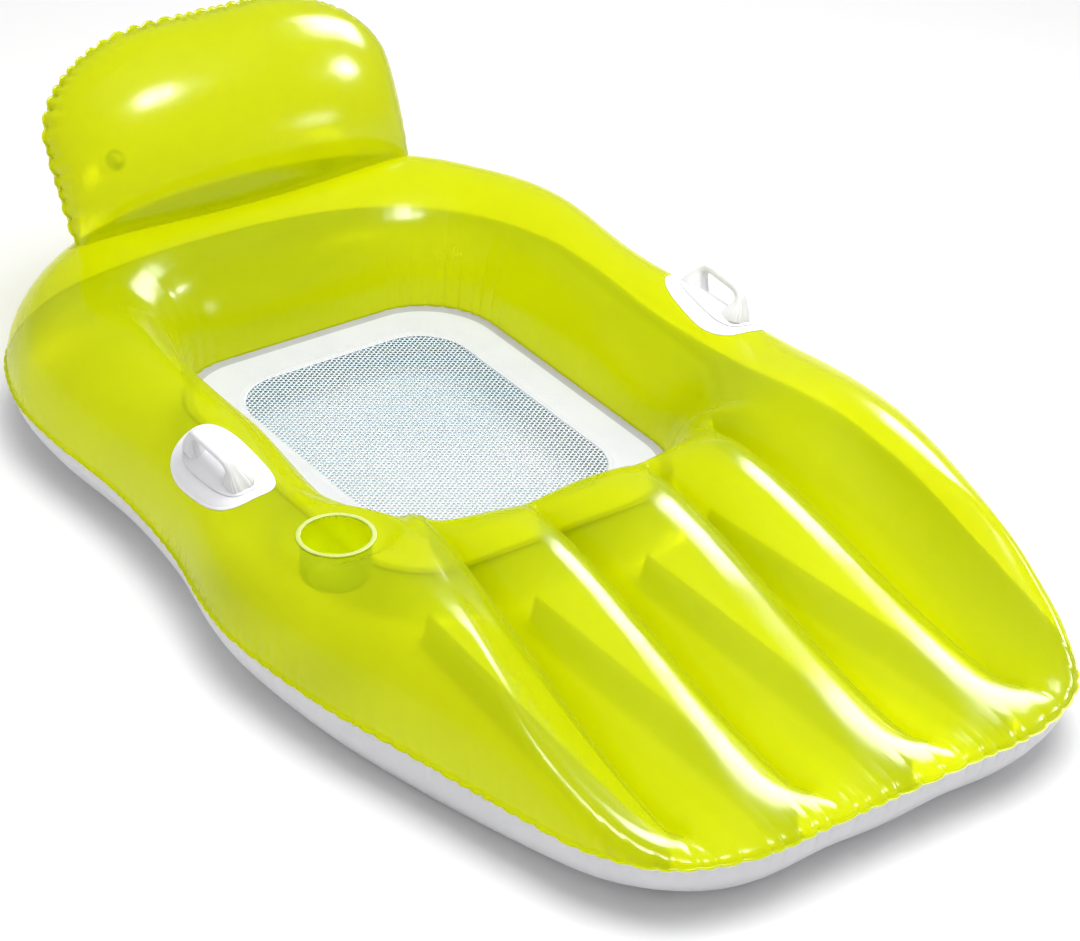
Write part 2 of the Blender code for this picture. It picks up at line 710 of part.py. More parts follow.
def make_net():
    """Flat white net with diamond gaps, its hem held between the borders."""
    half = SEAT_WIDTH / 2 - BORDER_WIDTH + NET_HEM
    edge = rounded_half(half, SEAT_REAR_Y - BORDER_WIDTH + NET_HEM, SEAT_FRONT_Y + BORDER_WIDTH - NET_HEM,
                        NET_CORNER + NET_HEM, SEAT_CORNER_STEPS)
    low = SEAT_HEIGHT + 2 * GAP + FILM
    net = prism("seat_net", whole_loop(edge)[::-1], low, low + NET_THICKNESS, Matrix.Identity(4), NET_WHITE)
    middles, pitch_x, pitch_y = net_gaps()
    x = pitch_x / 2 - NET_STRAND / 2
    y = pitch_y / 2 - NET_STRAND / 2
    verts, faces = [], []
    for mx, my in middles:
        first = len(verts)
        for z in (low - OVERRUN, low + OVERRUN):
            verts += [(mx + x, my, z), (mx, my + y, z), (mx - x, my, z), (mx, my - y, z)]
        faces.append(tuple(range(first, first + 4))[::-1])
        faces.append(tuple(range(first + 4, first + 8)))
        for k in range(4):
            n = (k + 1) % 4
            faces.append((first + k, first + n, first + 4 + n, first + 4 + k))
    boolean(net, add_object("net_gaps", verts, faces))


def make_webs(grid, top, bottom):
    """Four internal strips that tie the sheets together between the leg channels."""
    rows = [row + 1 for row in grid.web_rows()]
    for number, ray in enumerate(grid.webs, 1):
        upper = top[ray, rows] - (0.0, 0.0, GAP)
        lower = bottom[ray, rows] + (0.0, 0.0, GAP)
        run = upper[-1, :2] - upper[0, :2]
        side = np.array([-run[1], run[0], 0.0]) / np.hypot(*run) * FILM / 2
        count = len(rows)
        verts = np.vstack([lower - side, upper - side, lower + side, upper + side])
        faces = []
        for k in range(count - 1):
            faces.append((k, k + 1, count + k + 1, count + k))
            faces.append((2 * count + k + 1, 2 * count + k, 3 * count + k, 3 * count + k + 1))
            faces.append((count + k, count + k + 1, 3 * count + k + 1, 3 * count + k))
            faces.append((k + 1, k, 2 * count + k, 2 * count + k + 1))
        faces.append((0, count, 3 * count, 2 * count))
        faces.append((2 * count - 1, count - 1, 3 * count - 1, 4 * count - 1))
        add_object(f"channel_web_{number}", verts, faces, WEB_LIME)


def upright(x, y):
    """Frame with no turn, over a place on the floor."""
    return Matrix.Translation((x, y, 0.0))


def make_cup(surface, top):
    """Cup that hangs in the body, and the ring that welds its mouth to the top sheet."""
    outer = CUP_BORE / 2 + CUP_WALL
    mouth = surface.seat((CUP_X, CUP_Y, BODY_WIDTH), (0.0, 0.0, -1.0)).translation
    floor = mouth.z - CUP_DEPTH
    frame = upright(CUP_X, CUP_Y)
    high = mouth.z + OVERRUN
    bend = 4 * CUP_WALL
    profile = [(0.0, floor - CUP_WALL), (outer - bend, floor - CUP_WALL), (outer, floor + bend),
               (outer, high), (outer - CUP_WALL, high), (outer - CUP_WALL, floor + bend),
               (outer - bend, floor), (0.0, floor)]
    cup = turned("cup_holder", profile, frame, LIME, CUP_SIDES)
    reach = 2 * CUP_LAND
    ring_top = GAP + CUP_RING_THICKNESS
    boolean(cup, surface.block("over_cup", mouth, reach, ring_top, (0.0, 0.0, CUP_DEPTH)))
    rim = circle(outer + GAP + CUP_RING_WIDTH, CUP_SIDES)
    ring = prism("cup_rim", rim, floor, high, frame, CLEAR_WHITE)
    boolean(ring, surface.layer("cup_rim_layer", mouth, reach, GAP, ring_top), "INTERSECT")
    opening = prism("cup_opening", circle(outer + GAP, CUP_SIDES), floor - OVERRUN, high + OVERRUN, frame)
    boolean(ring, opening)
    boolean(top, opening)


def arch_outline():
    """Side view of a grip: an arch with feet that run on down, as a closed outline in Y and Z."""
    turn = np.linspace(0.0, math.pi, GRIP_STEPS)
    loops = []
    for inset in (0.0, GRIP_THICKNESS):
        half = (GRIP_SPAN + GRIP_THICKNESS) / 2 - inset
        height = GRIP_HEIGHT - inset
        y = np.sign(np.cos(turn)) * np.abs(np.cos(turn)) ** GRIP_SQUARE_SHARE * half
        z = np.abs(np.sin(turn)) ** GRIP_SQUARE_SHARE * height
        loop = [(half, -OVERRUN)] + list(zip(y, z)) + [(-half, -OVERRUN)]
        loops.append(loop)
    return loops[0] + loops[1][::-1]


def make_handle(surface, side, label):
    """Oval patch on the ring tube, and the moulded grip with its base plate."""
    frame = surface.seat((side * HANDLE_X, HANDLE_Y, BODY_WIDTH), (0.0, 0.0, -1.0))
    place = frame.translation
    reach = PATCH_REACH_SHARE * PATCH_LENGTH
    patch = prism(f"handle_patch_{label}", oval(PATCH_LENGTH, PATCH_WIDTH, HANDLE_SQUARE, HANDLE_SIDES),
                  -OVERRUN, OVERRUN, frame, WHITE)
    patch_top = GAP + PATCH_THICKNESS
    boolean(patch, surface.layer(f"patch_layer_{label}", place, reach, GAP, patch_top), "INTERSECT")
    low = patch_top + GAP
    grip = prism(f"handle_grip_{label}", oval(PLATE_LENGTH, PLATE_WIDTH, HANDLE_SQUARE, HANDLE_SIDES),
                 -OVERRUN, OVERRUN, frame, WHITE)
    plate_layer = surface.layer(f"plate_layer_{label}", place, reach, low, low + PLATE_THICKNESS)
    boolean(grip, plate_layer, "INTERSECT")
    turned_up = Matrix(((0, 0, 1, 0), (1, 0, 0, 0), (0, 1, 0, 0), (0, 0, 0, 1)))
    arch = prism(f"arch_{label}", arch_outline()[::-1], -GRIP_WIDTH / 2, GRIP_WIDTH / 2, frame @ turned_up)
    soften = arch.modifiers.new("soft_edges", "BEVEL")
    soften.width = GRIP_THICKNESS / 3
    soften.segments = 2
    soften.limit_method = "ANGLE"
    soften.angle_limit = math.radians(GRIP_EDGE_DEG)
    below = surface.block(f"under_plate_{label}", place, reach, low + PLATE_THICKNESS / 2,
                          (0.0, 0.0, -2 * OVERRUN))
    boolean(arch, below)
    boolean(grip, arch, "UNION")


def back_half_width(share):
    """Half width of the backrest's seam at a share of its height."""
    share = np.asarray(share, float)
    below = BACK_HALF_BASE + (BACK_HALF_WIDTH - BACK_HALF_BASE) * np.sin(
        np.clip(share / BACK_WIDEST_SHARE, 0.0, 1.0) * math.pi / 2)
    over = np.clip((share - BACK_WIDEST_SHARE) / (1.0 - BACK_WIDEST_SHARE), 0.0, 1.0)
    above = BACK_TOP_HALF + (BACK_HALF_WIDTH - BACK_TOP_HALF) * np.sqrt(1.0 - over ** 2)
    return np.where(share < BACK_WIDEST_SHARE, below, above)


def back_grid():
    """Places over the backrest's seam plane, columns across and rows up, and how far air swells them."""
    across = -np.cos(np.linspace(0.0, math.pi, BACK_COLUMNS + 1))
    up = np.sin(np.linspace(0.0, math.pi / 2, BACK_ROWS + 1))
    flat = np.zeros((BACK_COLUMNS + 1, BACK_ROWS + 1, 2))
    flat[..., 0] = across[:, None] * back_half_width(up)[None]
    flat[..., 1] = up[None] * BACK_HEIGHT
    rows = BACK_ROWS + 1
    quads = [(c * rows + r, (c + 1) * rows + r, (c + 1) * rows + r + 1, c * rows + r + 1)
             for c in range(BACK_COLUMNS) for r in range(BACK_ROWS)]
    held = {}
    for c in range(BACK_COLUMNS + 1):
        depth = BACK_BASE_DEPTH * (1.0 - across[c] ** 2) / BACK_BULGE_SHARE
        held[c * rows] = depth ** 2 / 2
        held[c * rows + BACK_ROWS] = 0.0
    for r in range(rows):
        held[r] = 0.0
        held[BACK_COLUMNS * rows + r] = 0.0
    fixed = np.array(sorted(held))
    swell = membrane(flat.reshape(-1, 2), quads, fixed, [held[i] for i in fixed], 1.0)
    swell = np.sqrt(2.0 * np.maximum(swell, 0.0)).reshape(flat.shape[:2])
    return flat, swell, quads


def back_seam_margin(flat):
    """Points just outside the seam, up the left side, along the top and down the right side."""
    order = [(0, r) for r in range(BACK_ROWS)] + [(c, BACK_ROWS) for c in range(BACK_COLUMNS + 1)]
    order += [(BACK_COLUMNS, r) for r in range(BACK_ROWS - 1, -1, -1)]
    line = np.array([flat[c, r] for c, r in order])
    run = np.gradient(line, axis=0)
    out = np.c_[-run[:, 1], run[:, 0]] / np.hypot(*run.T)[:, None]
    return order, line + out * BACK_MARGIN


def back_frame(base):
    """Frame of the backrest's seam plane from its base height: X across, Y up the plane, Z out of its front."""
    lean = math.radians(BACK_LEAN_DEG)
    up = Vector((0.0, math.sin(lean), math.cos(lean)))
    front = Vector((0.0, -math.cos(lean), math.sin(lean)))
    frame = Matrix((Vector((1.0, 0.0, 0.0)), up, front)).transposed().to_4x4()
    frame.translation = (0.0, BACK_Y, base)
    return frame


def back_panel(side, frame):
    """Points and faces of one backrest panel with its seam margin; side 1 is the front."""
    flat, swell, quads = back_grid()
    lift = swell * BACK_BULGE_SHARE + GAP / 2
    points = [frame @ Vector((x, y, side * z)) for (x, y), z in zip(flat.reshape(-1, 2), lift.ravel())]
    order, margin = back_seam_margin(flat)
    first = len(points)
    points += [frame @ Vector((x, y, side * GAP / 2)) for x, y in margin]
    rows = BACK_ROWS + 1
    rim = [c * rows + r for c, r in order]
    faces = list(quads)
    faces += [(rim[k], rim[k + 1], first + k + 1, first + k) for k in range(len(rim) - 1)]
    faces = triangles(faces, points)
    if side < 0:
        faces = [face[::-1] for face in faces]
    return np.array([tuple(p) for p in points]), faces


def make_backrest(surface):
    """Two seamed panels on a lens-shaped floor; returns the seam plane, the rear panel and its surface."""
    place = surface.seat((0.0, BACK_Y, BODY_WIDTH), (0.0, 0.0, -1.0)).translation
    base = place.z - BACK_SINK
    plane = back_frame(base)
    reach = BACK_HALF_WIDTH + 2 * BACK_BASE_DEPTH
    panels = []
    for name, side in (("backrest_front", 1.0), ("backrest_rear", -1.0)):
        points, faces = back_panel(side, plane)
        panel = add_object(name, points, faces, LIME)
        solidify(panel, FILM)
        under = surface.block(f"under_{name}", place, reach, 2 * GAP + FILM, (0.0, 0.0, -BACK_HEIGHT))
        boolean(panel, under)
        panels.append((panel, Surface(points, faces)))
    lens = -np.cos(np.linspace(0.0, math.pi, BACK_COLUMNS + 1))
    depth = (BACK_BASE_DEPTH + BACK_FLOOR_MARGIN) * (1.0 - lens ** 2) + BACK_FLOOR_MARGIN
    middle = BACK_Y + BACK_SINK * math.tan(math.radians(BACK_LEAN_DEG))
    x = lens * (BACK_HALF_BASE + BACK_FLOOR_MARGIN)
    outline = [(a, middle - d) for a, d in zip(x, depth)]
    outline += [(a, middle + d) for a, d in zip(x[::-1], depth[::-1])]
    floor = prism("backrest_floor", outline, base / 2, BODY_WIDTH, Matrix.Identity(4), LIME)
    boolean(floor, surface.layer("backrest_floor_layer", place, reach, GAP, GAP + FILM), "INTERSECT")
    return (plane, *panels[1])


def box_between(low, high, frame):
    """Points and faces of a box between two corners, placed by a frame."""
    verts = [frame @ Vector((x, y, z)) for z in (low[2], high[2]) for y in (low[1], high[1])
             for x in (low[0], high[0])]
    faces = [(0, 2, 3, 1), (4, 5, 7, 6), (0, 1, 5, 4), (2, 6, 7, 3), (0, 4, 6, 2), (1, 3, 7, 5)]
    return verts, faces


def set_origin(made, place):
    """Move an object's origin to a place and leave its shape where it is."""
    made.data.transform(Matrix.Translation(-Vector(place)))
    made.location = place


def make_valve(label, frame, sheet):
    """Valve on a sheet: welded flange, stem that pushes in, plug on its strap and inner flap."""
    collar_top = GAP + COLLAR_HEIGHT
    bore = STEM_RADIUS + GAP
    flange_top = GAP + VALVE_FLANGE_THICKNESS
    profile = [(bore, GAP), (VALVE_FLANGE_RADIUS, GAP), (VALVE_FLANGE_RADIUS, flange_top),
               (COLLAR_RADIUS, flange_top), (COLLAR_RADIUS, collar_top), (bore, collar_top)]
    turned(f"{label}_valve_flange", profile, frame, CLEAR_WHITE)
    boolean(sheet, prism(f"{label}_valve_hole", circle(bore + GAP), -OVERRUN, OVERRUN, frame))
    lip_top = make_stem(label, frame, collar_top + GAP)
    make_plug(label, frame, lip_top)
    make_flap(label, frame, lip_top - STEM_HEIGHT - GAP)


def make_stem(label, frame, lip_low):
    """Tube with a lip and the ear that carries the plug's strap; returns the height of its top."""
    lip_top = lip_low + LIP_THICKNESS
    foot = lip_top - STEM_HEIGHT
    profile = [(STEM_BORE, foot), (STEM_RADIUS, foot), (STEM_RADIUS, lip_low),
               (LIP_RADIUS, lip_low), (LIP_RADIUS, lip_top), (STEM_BORE, lip_top)]
    stem = turned(f"{label}_valve_stem", profile, frame, CLEAR_WHITE)
    ear = box_between((-STRAP_WIDTH / 2, (STEM_BORE + LIP_RADIUS) / 2, lip_low + GAP),
                      (STRAP_WIDTH / 2, strap_bend() - GAP, lip_top - GAP), frame)
    boolean(stem, add_object(f"{label}_stem_ear", *ear), "UNION")
    set_origin(stem, frame.translation)
    return lip_top


def strap_bend():
    """Distance from a valve's axis to the bend of its strap."""
    return LIP_RADIUS + STRAP_LENGTH / 3


def make_plug(label, frame, lip_top):
    """Plug with its tapered pin and strap, turned about the bend of the strap."""
    low = lip_top + GAP
    high = low + PLUG_HEAD_THICKNESS
    profile = [(0.0, low - PLUG_PIN_LENGTH), (PLUG_TIP_RADIUS, low - PLUG_PIN_LENGTH),
               (PLUG_PIN_RADIUS, low), (PLUG_HEAD_RADIUS, low), (PLUG_HEAD_RADIUS, high), (0.0, high)]
    plug = turned(f"{label}_valve_plug", profile, frame, CLEAR_WHITE)
    arm = box_between((-STRAP_WIDTH / 2, (PLUG_PIN_RADIUS + PLUG_HEAD_RADIUS) / 2, low + GAP / 2),
                      (STRAP_WIDTH / 2, strap_bend() - GAP, low + GAP / 2 + STRAP_THICKNESS), frame)
    boolean(plug, add_object(f"{label}_plug_arm", *arm), "UNION")
    set_origin(plug, frame @ Vector((0.0, strap_bend(), lip_top + GAP / 2)))


def make_flap(label, frame, high):
    """Thin round flap under the stem, turned about its edge."""
    low = high - FLAP_THICKNESS
    profile = [(0.0, low), (FLAP_RADIUS, low), (FLAP_RADIUS, high), (0.0, high)]
    flap = turned(f"{label}_valve_flap", profile, frame, CLEAR_WHITE)
    set_origin(flap, frame @ Vector((0.0, FLAP_RADIUS, high)))


def centre():
    """Move everything so that the origin lies on the floor under the middle of the float."""
    seen = bpy.context.evaluated_depsgraph_get()
    shown = [made for made in bpy.data.objects if not made.hide_render]
    corners = [made.evaluated_get(seen).matrix_world @ Vector(corner)
               for made in shown for corner in made.evaluated_get(seen).bound_box]
    middle_y = (min(c.y for c in corners) + max(c.y for c in corners)) / 2
    for made in bpy.data.objects:
        made.location.y -= middle_y


def build():
    """Make every piece."""
    clear_scene()
    grid = BodyGrid()
    top = top_points(grid)
    bottom = bottom_points(grid)
    top_sheet = make_sheet("top_sheet", grid, top, True, LIME)
    make_sheet("bottom_sheet", grid, bottom, False, WHITE)
    seated = top[:, 1:-1].reshape(-1, 3)
    surface = Surface(seated, triangles(grid.quads(ROWS + 1), seated))
    make_borders()
    make_net()
    make_webs(grid, top, bottom)
    make_cup(surface, top_sheet)
    make_handle(surface, -1.0, "left")
    make_handle(surface, 1.0, "right")
    plane, rear_panel, rear_surface = make_backrest(surface)
    body_frame = surface.seat((BODY_VALVE_X, BODY_VALVE_Y, BODY_WIDTH), (0.0, 0.0, -1.0))
    make_valve("body", body_frame, top_sheet)
    behind = plane @ Vector((BACK_VALVE_X, BACK_HEIGHT * BACK_VALVE_RISE_SHARE, -BODY_WIDTH))
    back_valve = rear_surface.seat(behind, plane.to_3x3() @ Vector((0.0, 0.0, 1.0)))
    make_valve("backrest", back_valve, rear_panel)
    centre()


build()
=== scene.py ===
"""Looks of an inflatable pool lounge chair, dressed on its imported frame.

Each sub-assembly is a class: the inflated body, the leg webs, the seat, the cup holder, the carry
handles, the backrest, the air valves and the studio around them. Metres, +Z up, backrest at +Y.
"""
import json
import logging
import math
from dataclasses import dataclass, field
from enum import Enum
from typing import Any, Callable, Sequence

import bpy
import numpy as np
from mathutils import Matrix, Vector
from mathutils.bvhtree import BVHTree
from mathutils.kdtree import KDTree


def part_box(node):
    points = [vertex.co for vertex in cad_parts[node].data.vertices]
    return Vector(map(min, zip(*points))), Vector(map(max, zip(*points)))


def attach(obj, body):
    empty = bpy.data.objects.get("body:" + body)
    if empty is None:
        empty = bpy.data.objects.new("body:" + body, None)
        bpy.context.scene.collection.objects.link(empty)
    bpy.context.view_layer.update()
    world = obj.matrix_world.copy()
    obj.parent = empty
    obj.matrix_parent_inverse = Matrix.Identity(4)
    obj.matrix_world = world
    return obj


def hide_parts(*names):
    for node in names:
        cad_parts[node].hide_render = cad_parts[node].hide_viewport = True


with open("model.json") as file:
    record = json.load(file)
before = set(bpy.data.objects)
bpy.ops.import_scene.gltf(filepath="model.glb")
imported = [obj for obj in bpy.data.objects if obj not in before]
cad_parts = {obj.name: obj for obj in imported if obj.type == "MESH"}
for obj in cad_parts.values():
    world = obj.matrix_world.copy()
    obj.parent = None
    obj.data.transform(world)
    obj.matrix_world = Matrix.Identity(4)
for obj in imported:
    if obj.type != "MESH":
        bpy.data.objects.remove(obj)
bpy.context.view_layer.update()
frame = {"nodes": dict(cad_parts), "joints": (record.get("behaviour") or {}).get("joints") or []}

LOG = logging.getLogger("pool_chair")
Colour = tuple[float, float, float, float]
TINY = 1e-12  # keeps a division away from zero
SMALL = 1e-9  # the same for heights and signs
RING_SEAT_SHARE = 0.6  # how far down its underside the cup's ring meets the film
DOWN = Vector((0.0, 0.0, -1.0))


class Side(Enum):
    """Side of the float, by the sign of X."""

    LEFT = -1
    RIGHT = 1


class Sheet(Enum):
    """Which of the two body sheets, by the way that air pushes it."""

    TOP = 1
    BOTTOM = -1


def ease(t: np.ndarray | float) -> np.ndarray:
    """Smooth step from 0 to 1."""
    t = np.clip(t, 0.0, 1.0)
    return t * t * (3.0 - 2.0 * t)


def unit(v: np.ndarray) -> np.ndarray:
    """Vectors at length 1, along the last axis."""
    return v / np.maximum(np.linalg.norm(v, axis=-1, keepdims=True), TINY)


def turns(count: int) -> np.ndarray:
    """Angles of points spread evenly round a circle."""
    return np.arange(count) * 2 * math.pi / count


def circle_of(count: int) -> np.ndarray:
    """Points spread evenly round a circle of radius 1."""
    return np.c_[np.cos(turns(count)), np.sin(turns(count))]


def walked(line: np.ndarray) -> np.ndarray:
    """Distance of each point of a line from its start."""
    return np.concatenate([[0.0], np.cumsum(np.linalg.norm(np.diff(line, axis=0), axis=1))])


def read_line(line: np.ndarray, stations: np.ndarray, at: np.ndarray | float) -> np.ndarray:
    """Places on a line whose points stand at known stations."""
    return np.stack([np.interp(at, stations, column) for column in line.T], axis=-1)


def from_axis(points: np.ndarray, place: np.ndarray,
              normal: np.ndarray) -> tuple[np.ndarray, np.ndarray]:
    """Heights over a plane, and distances from the axis that stands on it.

    Args:
        points: The points to measure.
        place: Where the axis meets the plane.
        normal: Direction of the axis.

    Returns:
        The heights and the distances.
    """
    away = points - place
    off = away @ normal
    return off, np.linalg.norm(away - off[..., None] * normal, axis=-1)


def curve_through(knots: np.ndarray, steps: int) -> np.ndarray:
    """Catmull-Rom curve from the second knot to the last but one.

    Args:
        knots: The knots. The first and the last only give a direction.
        steps: Steps between two of them.

    Returns:
        The curve's points.
    """
    t = np.linspace(0.0, 1.0, steps, endpoint=False)[:, None]
    runs = [0.5 * (2 * b + (c - a) * t + (2 * a - 5 * b + 4 * c - d) * t ** 2
                   + (3 * b - a - 3 * c + d) * t ** 3)
            for a, b, c, d in zip(knots[:-3], knots[1:-2], knots[2:-1], knots[3:])]
    return np.vstack(runs + [knots[-2:-1]])


def grid_faces(columns: int, rows: int, closed: bool) -> np.ndarray:
    """Four-sided faces of a grid of points numbered column by column.

    Args:
        columns: How many columns of points.
        rows: How many points in a column.
        closed: Whether the last column joins the first.

    Returns:
        One row of four point numbers a face.
    """
    c = np.arange(columns if closed else columns - 1)[:, None]
    r = np.arange(rows - 1)[None]
    n = (c + 1) % columns
    corners = (c * rows + r, c * rows + r + 1, n * rows + r + 1, n * rows + r)
    return np.stack(corners, axis=-1).reshape(-1, 4)


def new_piece(name: str, points: np.ndarray, faces: Sequence[Sequence[int]],
              material: bpy.types.Material) -> bpy.types.Object:
    """Make a smooth mesh object.

    Args:
        name: The piece's name.
        points: Places of its points.
        faces: Point numbers of its faces.
        material: Its finish.

    Returns:
        The new object, linked to the scene.
    """
    mesh = bpy.data.meshes.new(name)
    rows = faces.tolist() if isinstance(faces, np.ndarray) else [list(f) for f in faces]
    mesh.from_pydata(np.asarray(points, float).tolist(), [], rows)
    mesh.validate()
    mesh.shade_smooth()
    mesh.materials.append(material)
    made = bpy.data.objects.new(name, mesh)
    bpy.context.scene.collection.objects.link(made)
    return made


def stand_for(piece: bpy.types.Object, slot: str, *nodes: str, body: str = "float") -> None:
    """Let a piece ride on a body and replace CAD nodes.

    Args:
        piece: The new piece.
        slot: The record's material slot. Not used.
        nodes: The CAD nodes that it stands for.
        body: The body that carries it.
    """
    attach(piece, body)
    if nodes:
        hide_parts(*nodes)
    points = len(piece.data.vertices)
    LOG.info("%s: %d points, for %s", piece.name, points, ", ".join(nodes) or "itself")


def surface_tree(points: np.ndarray, faces: np.ndarray) -> BVHTree:
    """Search tree over a sheet, to seat other pieces on it."""
    return BVHTree.FromPolygons(points.tolist(), faces.tolist())


def standing_frame(place: Vector, normal: Vector) -> Matrix:
    """Frame at a place: Z along the normal, Y as near the float's length as it can be.

    Args:
        place: The frame's origin.
        normal: Its Z direction.

    Returns:
        The frame as a 4x4 matrix.
    """
    z = normal.normalized()
    x = Vector((0.0, 1.0, 0.0)).cross(z).normalized()
    made = Matrix((x, z.cross(x), z)).transposed().to_4x4()
    made.translation = place
    return made


class Graph:
    """A material and short ways to add nodes to it."""

    def __init__(self, name: str) -> None:
        """Start an empty material.

        Args:
            name: The material's name.
        """
        self.material = bpy.data.materials.new(name)
        self.material.use_nodes = True
        self.tree = self.material.node_tree
        self.tree.nodes.clear()
        self.place = self.node("TexCoord").outputs["Object"]

    def node(self, kind: str, inputs: dict[Any, Any] | None = None,
             **settings: Any) -> bpy.types.Node:
        """Add a node.

        Args:
            kind: Its type, without the ShaderNode prefix.
            inputs: Values or sockets for its inputs, by name or number.
            settings: Values for its properties.

        Returns:
            The node.
        """
        made = self.tree.nodes.new(f"ShaderNode{kind}")
        for key, value in settings.items():
            setattr(made, key, value)
        for key, value in (inputs or {}).items():
            if isinstance(value, bpy.types.NodeSocket):
                self.tree.links.new(value, made.inputs[key])
            else:
                made.inputs[key].default_value = value
        return made

    def noise(self, scale: float, detail: float = 2.0, stretch: tuple = (1.0, 1.0, 1.0),
              rough: float = 0.5) -> bpy.types.NodeSocket:
        """Noise over the object's own place.

        Args:
            scale: How many lumps a metre.
            detail: How many finer layers.
            stretch: Scale along each axis.
            rough: Strength of the finer layers.

        Returns:
            The noise value's socket.
        """
        place = self.node("Mapping", {"Vector": self.place, "Scale": stretch}).outputs[0]
        values = {"Vector": place, "Scale": scale, "Detail": detail, "Roughness": rough}
        return self.node("TexNoise", values).outputs["Fac"]

    def spread(self, value: bpy.types.NodeSocket, low: float, high: float,
               start: float = 0.3, end: float = 0.7) -> bpy.types.NodeSocket:
        """Map a value from one range to another.

        Args:
            value: The value's socket.
            low: Result at the start.
            high: Result at the end.
            start: Value where the range starts.
            end: Value where it ends.

        Returns:
            The result's socket.
        """
        values = {"Value": value, "From Min": start, "From Max": end, "To Min": low, "To Max": high}
        return self.node("MapRange", values).outputs[0]

    def blend(self, share: bpy.types.NodeSocket, a: Colour, b: Colour) -> bpy.types.NodeSocket:
        """Mix two colours by a share.

        Args:
            share: The share's socket: 0 gives the first colour, 1 the second.
            a: The first colour.
            b: The second colour.

        Returns:
            The mixed colour's socket.
        """
        made = self.node("Mix", {0: share}, data_type="RGBA")
        made.inputs[6].default_value = a
        made.inputs[7].default_value = b
        return made.outputs[2]

    def two_sided(self, front: bpy.types.NodeSocket, back: Colour) -> bpy.types.NodeSocket:
        """Use a second colour on the back of the faces: painted light on the cup, painted shade on
        the bottom sheet.

        Args:
            front: The front colour's socket.
            back: The colour on the back.

        Returns:
            The colour's socket.
        """
        side = self.node("NewGeometry").outputs["Backfacing"]
        made = self.node("Mix", {0: side, 6: front}, data_type="RGBA")
        made.inputs[7].default_value = back
        return made.outputs[2]

    def bump(self, height: bpy.types.NodeSocket, depth: float,
             normal: bpy.types.NodeSocket | None = None) -> bpy.types.NodeSocket:
        """Raise the surface by a height.

        Args:
            height: The height's socket, from 0 to 1.
            depth: Its depth in metres.
            normal: A bump below this one.

        Returns:
            The normal's socket.
        """
        values = {"Height": height, "Distance": depth, "Strength": 1.0}
        if normal is not None:
            values["Normal"] = normal
        return self.node("Bump", values).outputs[0]

    def finish(self, shader: bpy.types.Node) -> bpy.types.Material:
        """Use a shader as the surface.

        Args:
            shader: The shader's node.

        Returns:
            The material.
        """
        out = self.node("OutputMaterial")
        self.tree.links.new(shader.outputs[0], out.inputs["Surface"])
        return self.material


@dataclass(frozen=True)
class FilmFinish:
    """See-through glossy vinyl film: one share tints the light, the rest has its own colour."""

    name: str
    tint: Colour
    deep_tint: Colour
    body: Colour
    pale_body: Colour
    solid: float
    edge: float
    rough: tuple[float, float] = (0.14, 0.21)
    ior: float = 1.5
    grain: float = 0.00004
    ripple: float = 0.0006
    sheen: float = 0.0
    # Colour on the back of the faces; on the cup it is painted light.
    inner: Colour | None = None
    tint_scale: float = 7.0
    body_scale: float = 11.0
    smear_scale: float = 38.0
    smear_stretch: tuple[float, float, float] = (1.0, 0.35, 1.0)
    ripple_scale: float = 16.0
    grain_scale: float = 900.0
    sheen_rough: float = 0.22
    slant: float = 0.3

    def make(self) -> bpy.types.Material:
        """Build the finish's nodes.

        Returns:
            The material.
        """
        g = Graph(self.name)
        slow = g.noise(self.tint_scale, 3.0)
        tint = g.blend(g.spread(slow, 0.0, 1.0), self.tint, self.deep_tint)
        clouds = g.spread(g.noise(self.body_scale, 4.0), 0.0, 1.0)
        body = g.blend(clouds, self.body, self.pale_body)
        # A second colour on the back of the faces: the cup uses it to paint light inside the wall
        # against painted shade outside.
        if self.inner:
            body = g.two_sided(body, self.inner)
        smear = g.noise(self.smear_scale, 5.0, self.smear_stretch, 0.6)
        normal = g.bump(g.noise(self.ripple_scale, 2.0), self.ripple)
        normal = g.bump(g.noise(self.grain_scale, 1.0), self.grain, normal)
        clear = g.node("BsdfTransparent", {"Color": tint})
        film = g.node("BsdfPrincipled", {
            "Base Color": body, "Roughness": g.spread(smear, *self.rough), "IOR": self.ior,
            "Sheen Weight": self.sheen, "Sheen Roughness": self.sheen_rough, "Normal": normal})
        slant = g.node("LayerWeight", {"Blend": self.slant}).outputs["Facing"]
        share = g.spread(slant, self.solid, self.solid + self.edge, 0.0, 1.0)
        return g.finish(g.node("MixShader", {0: share, 1: clear.outputs[0], 2: film.outputs[0]}))


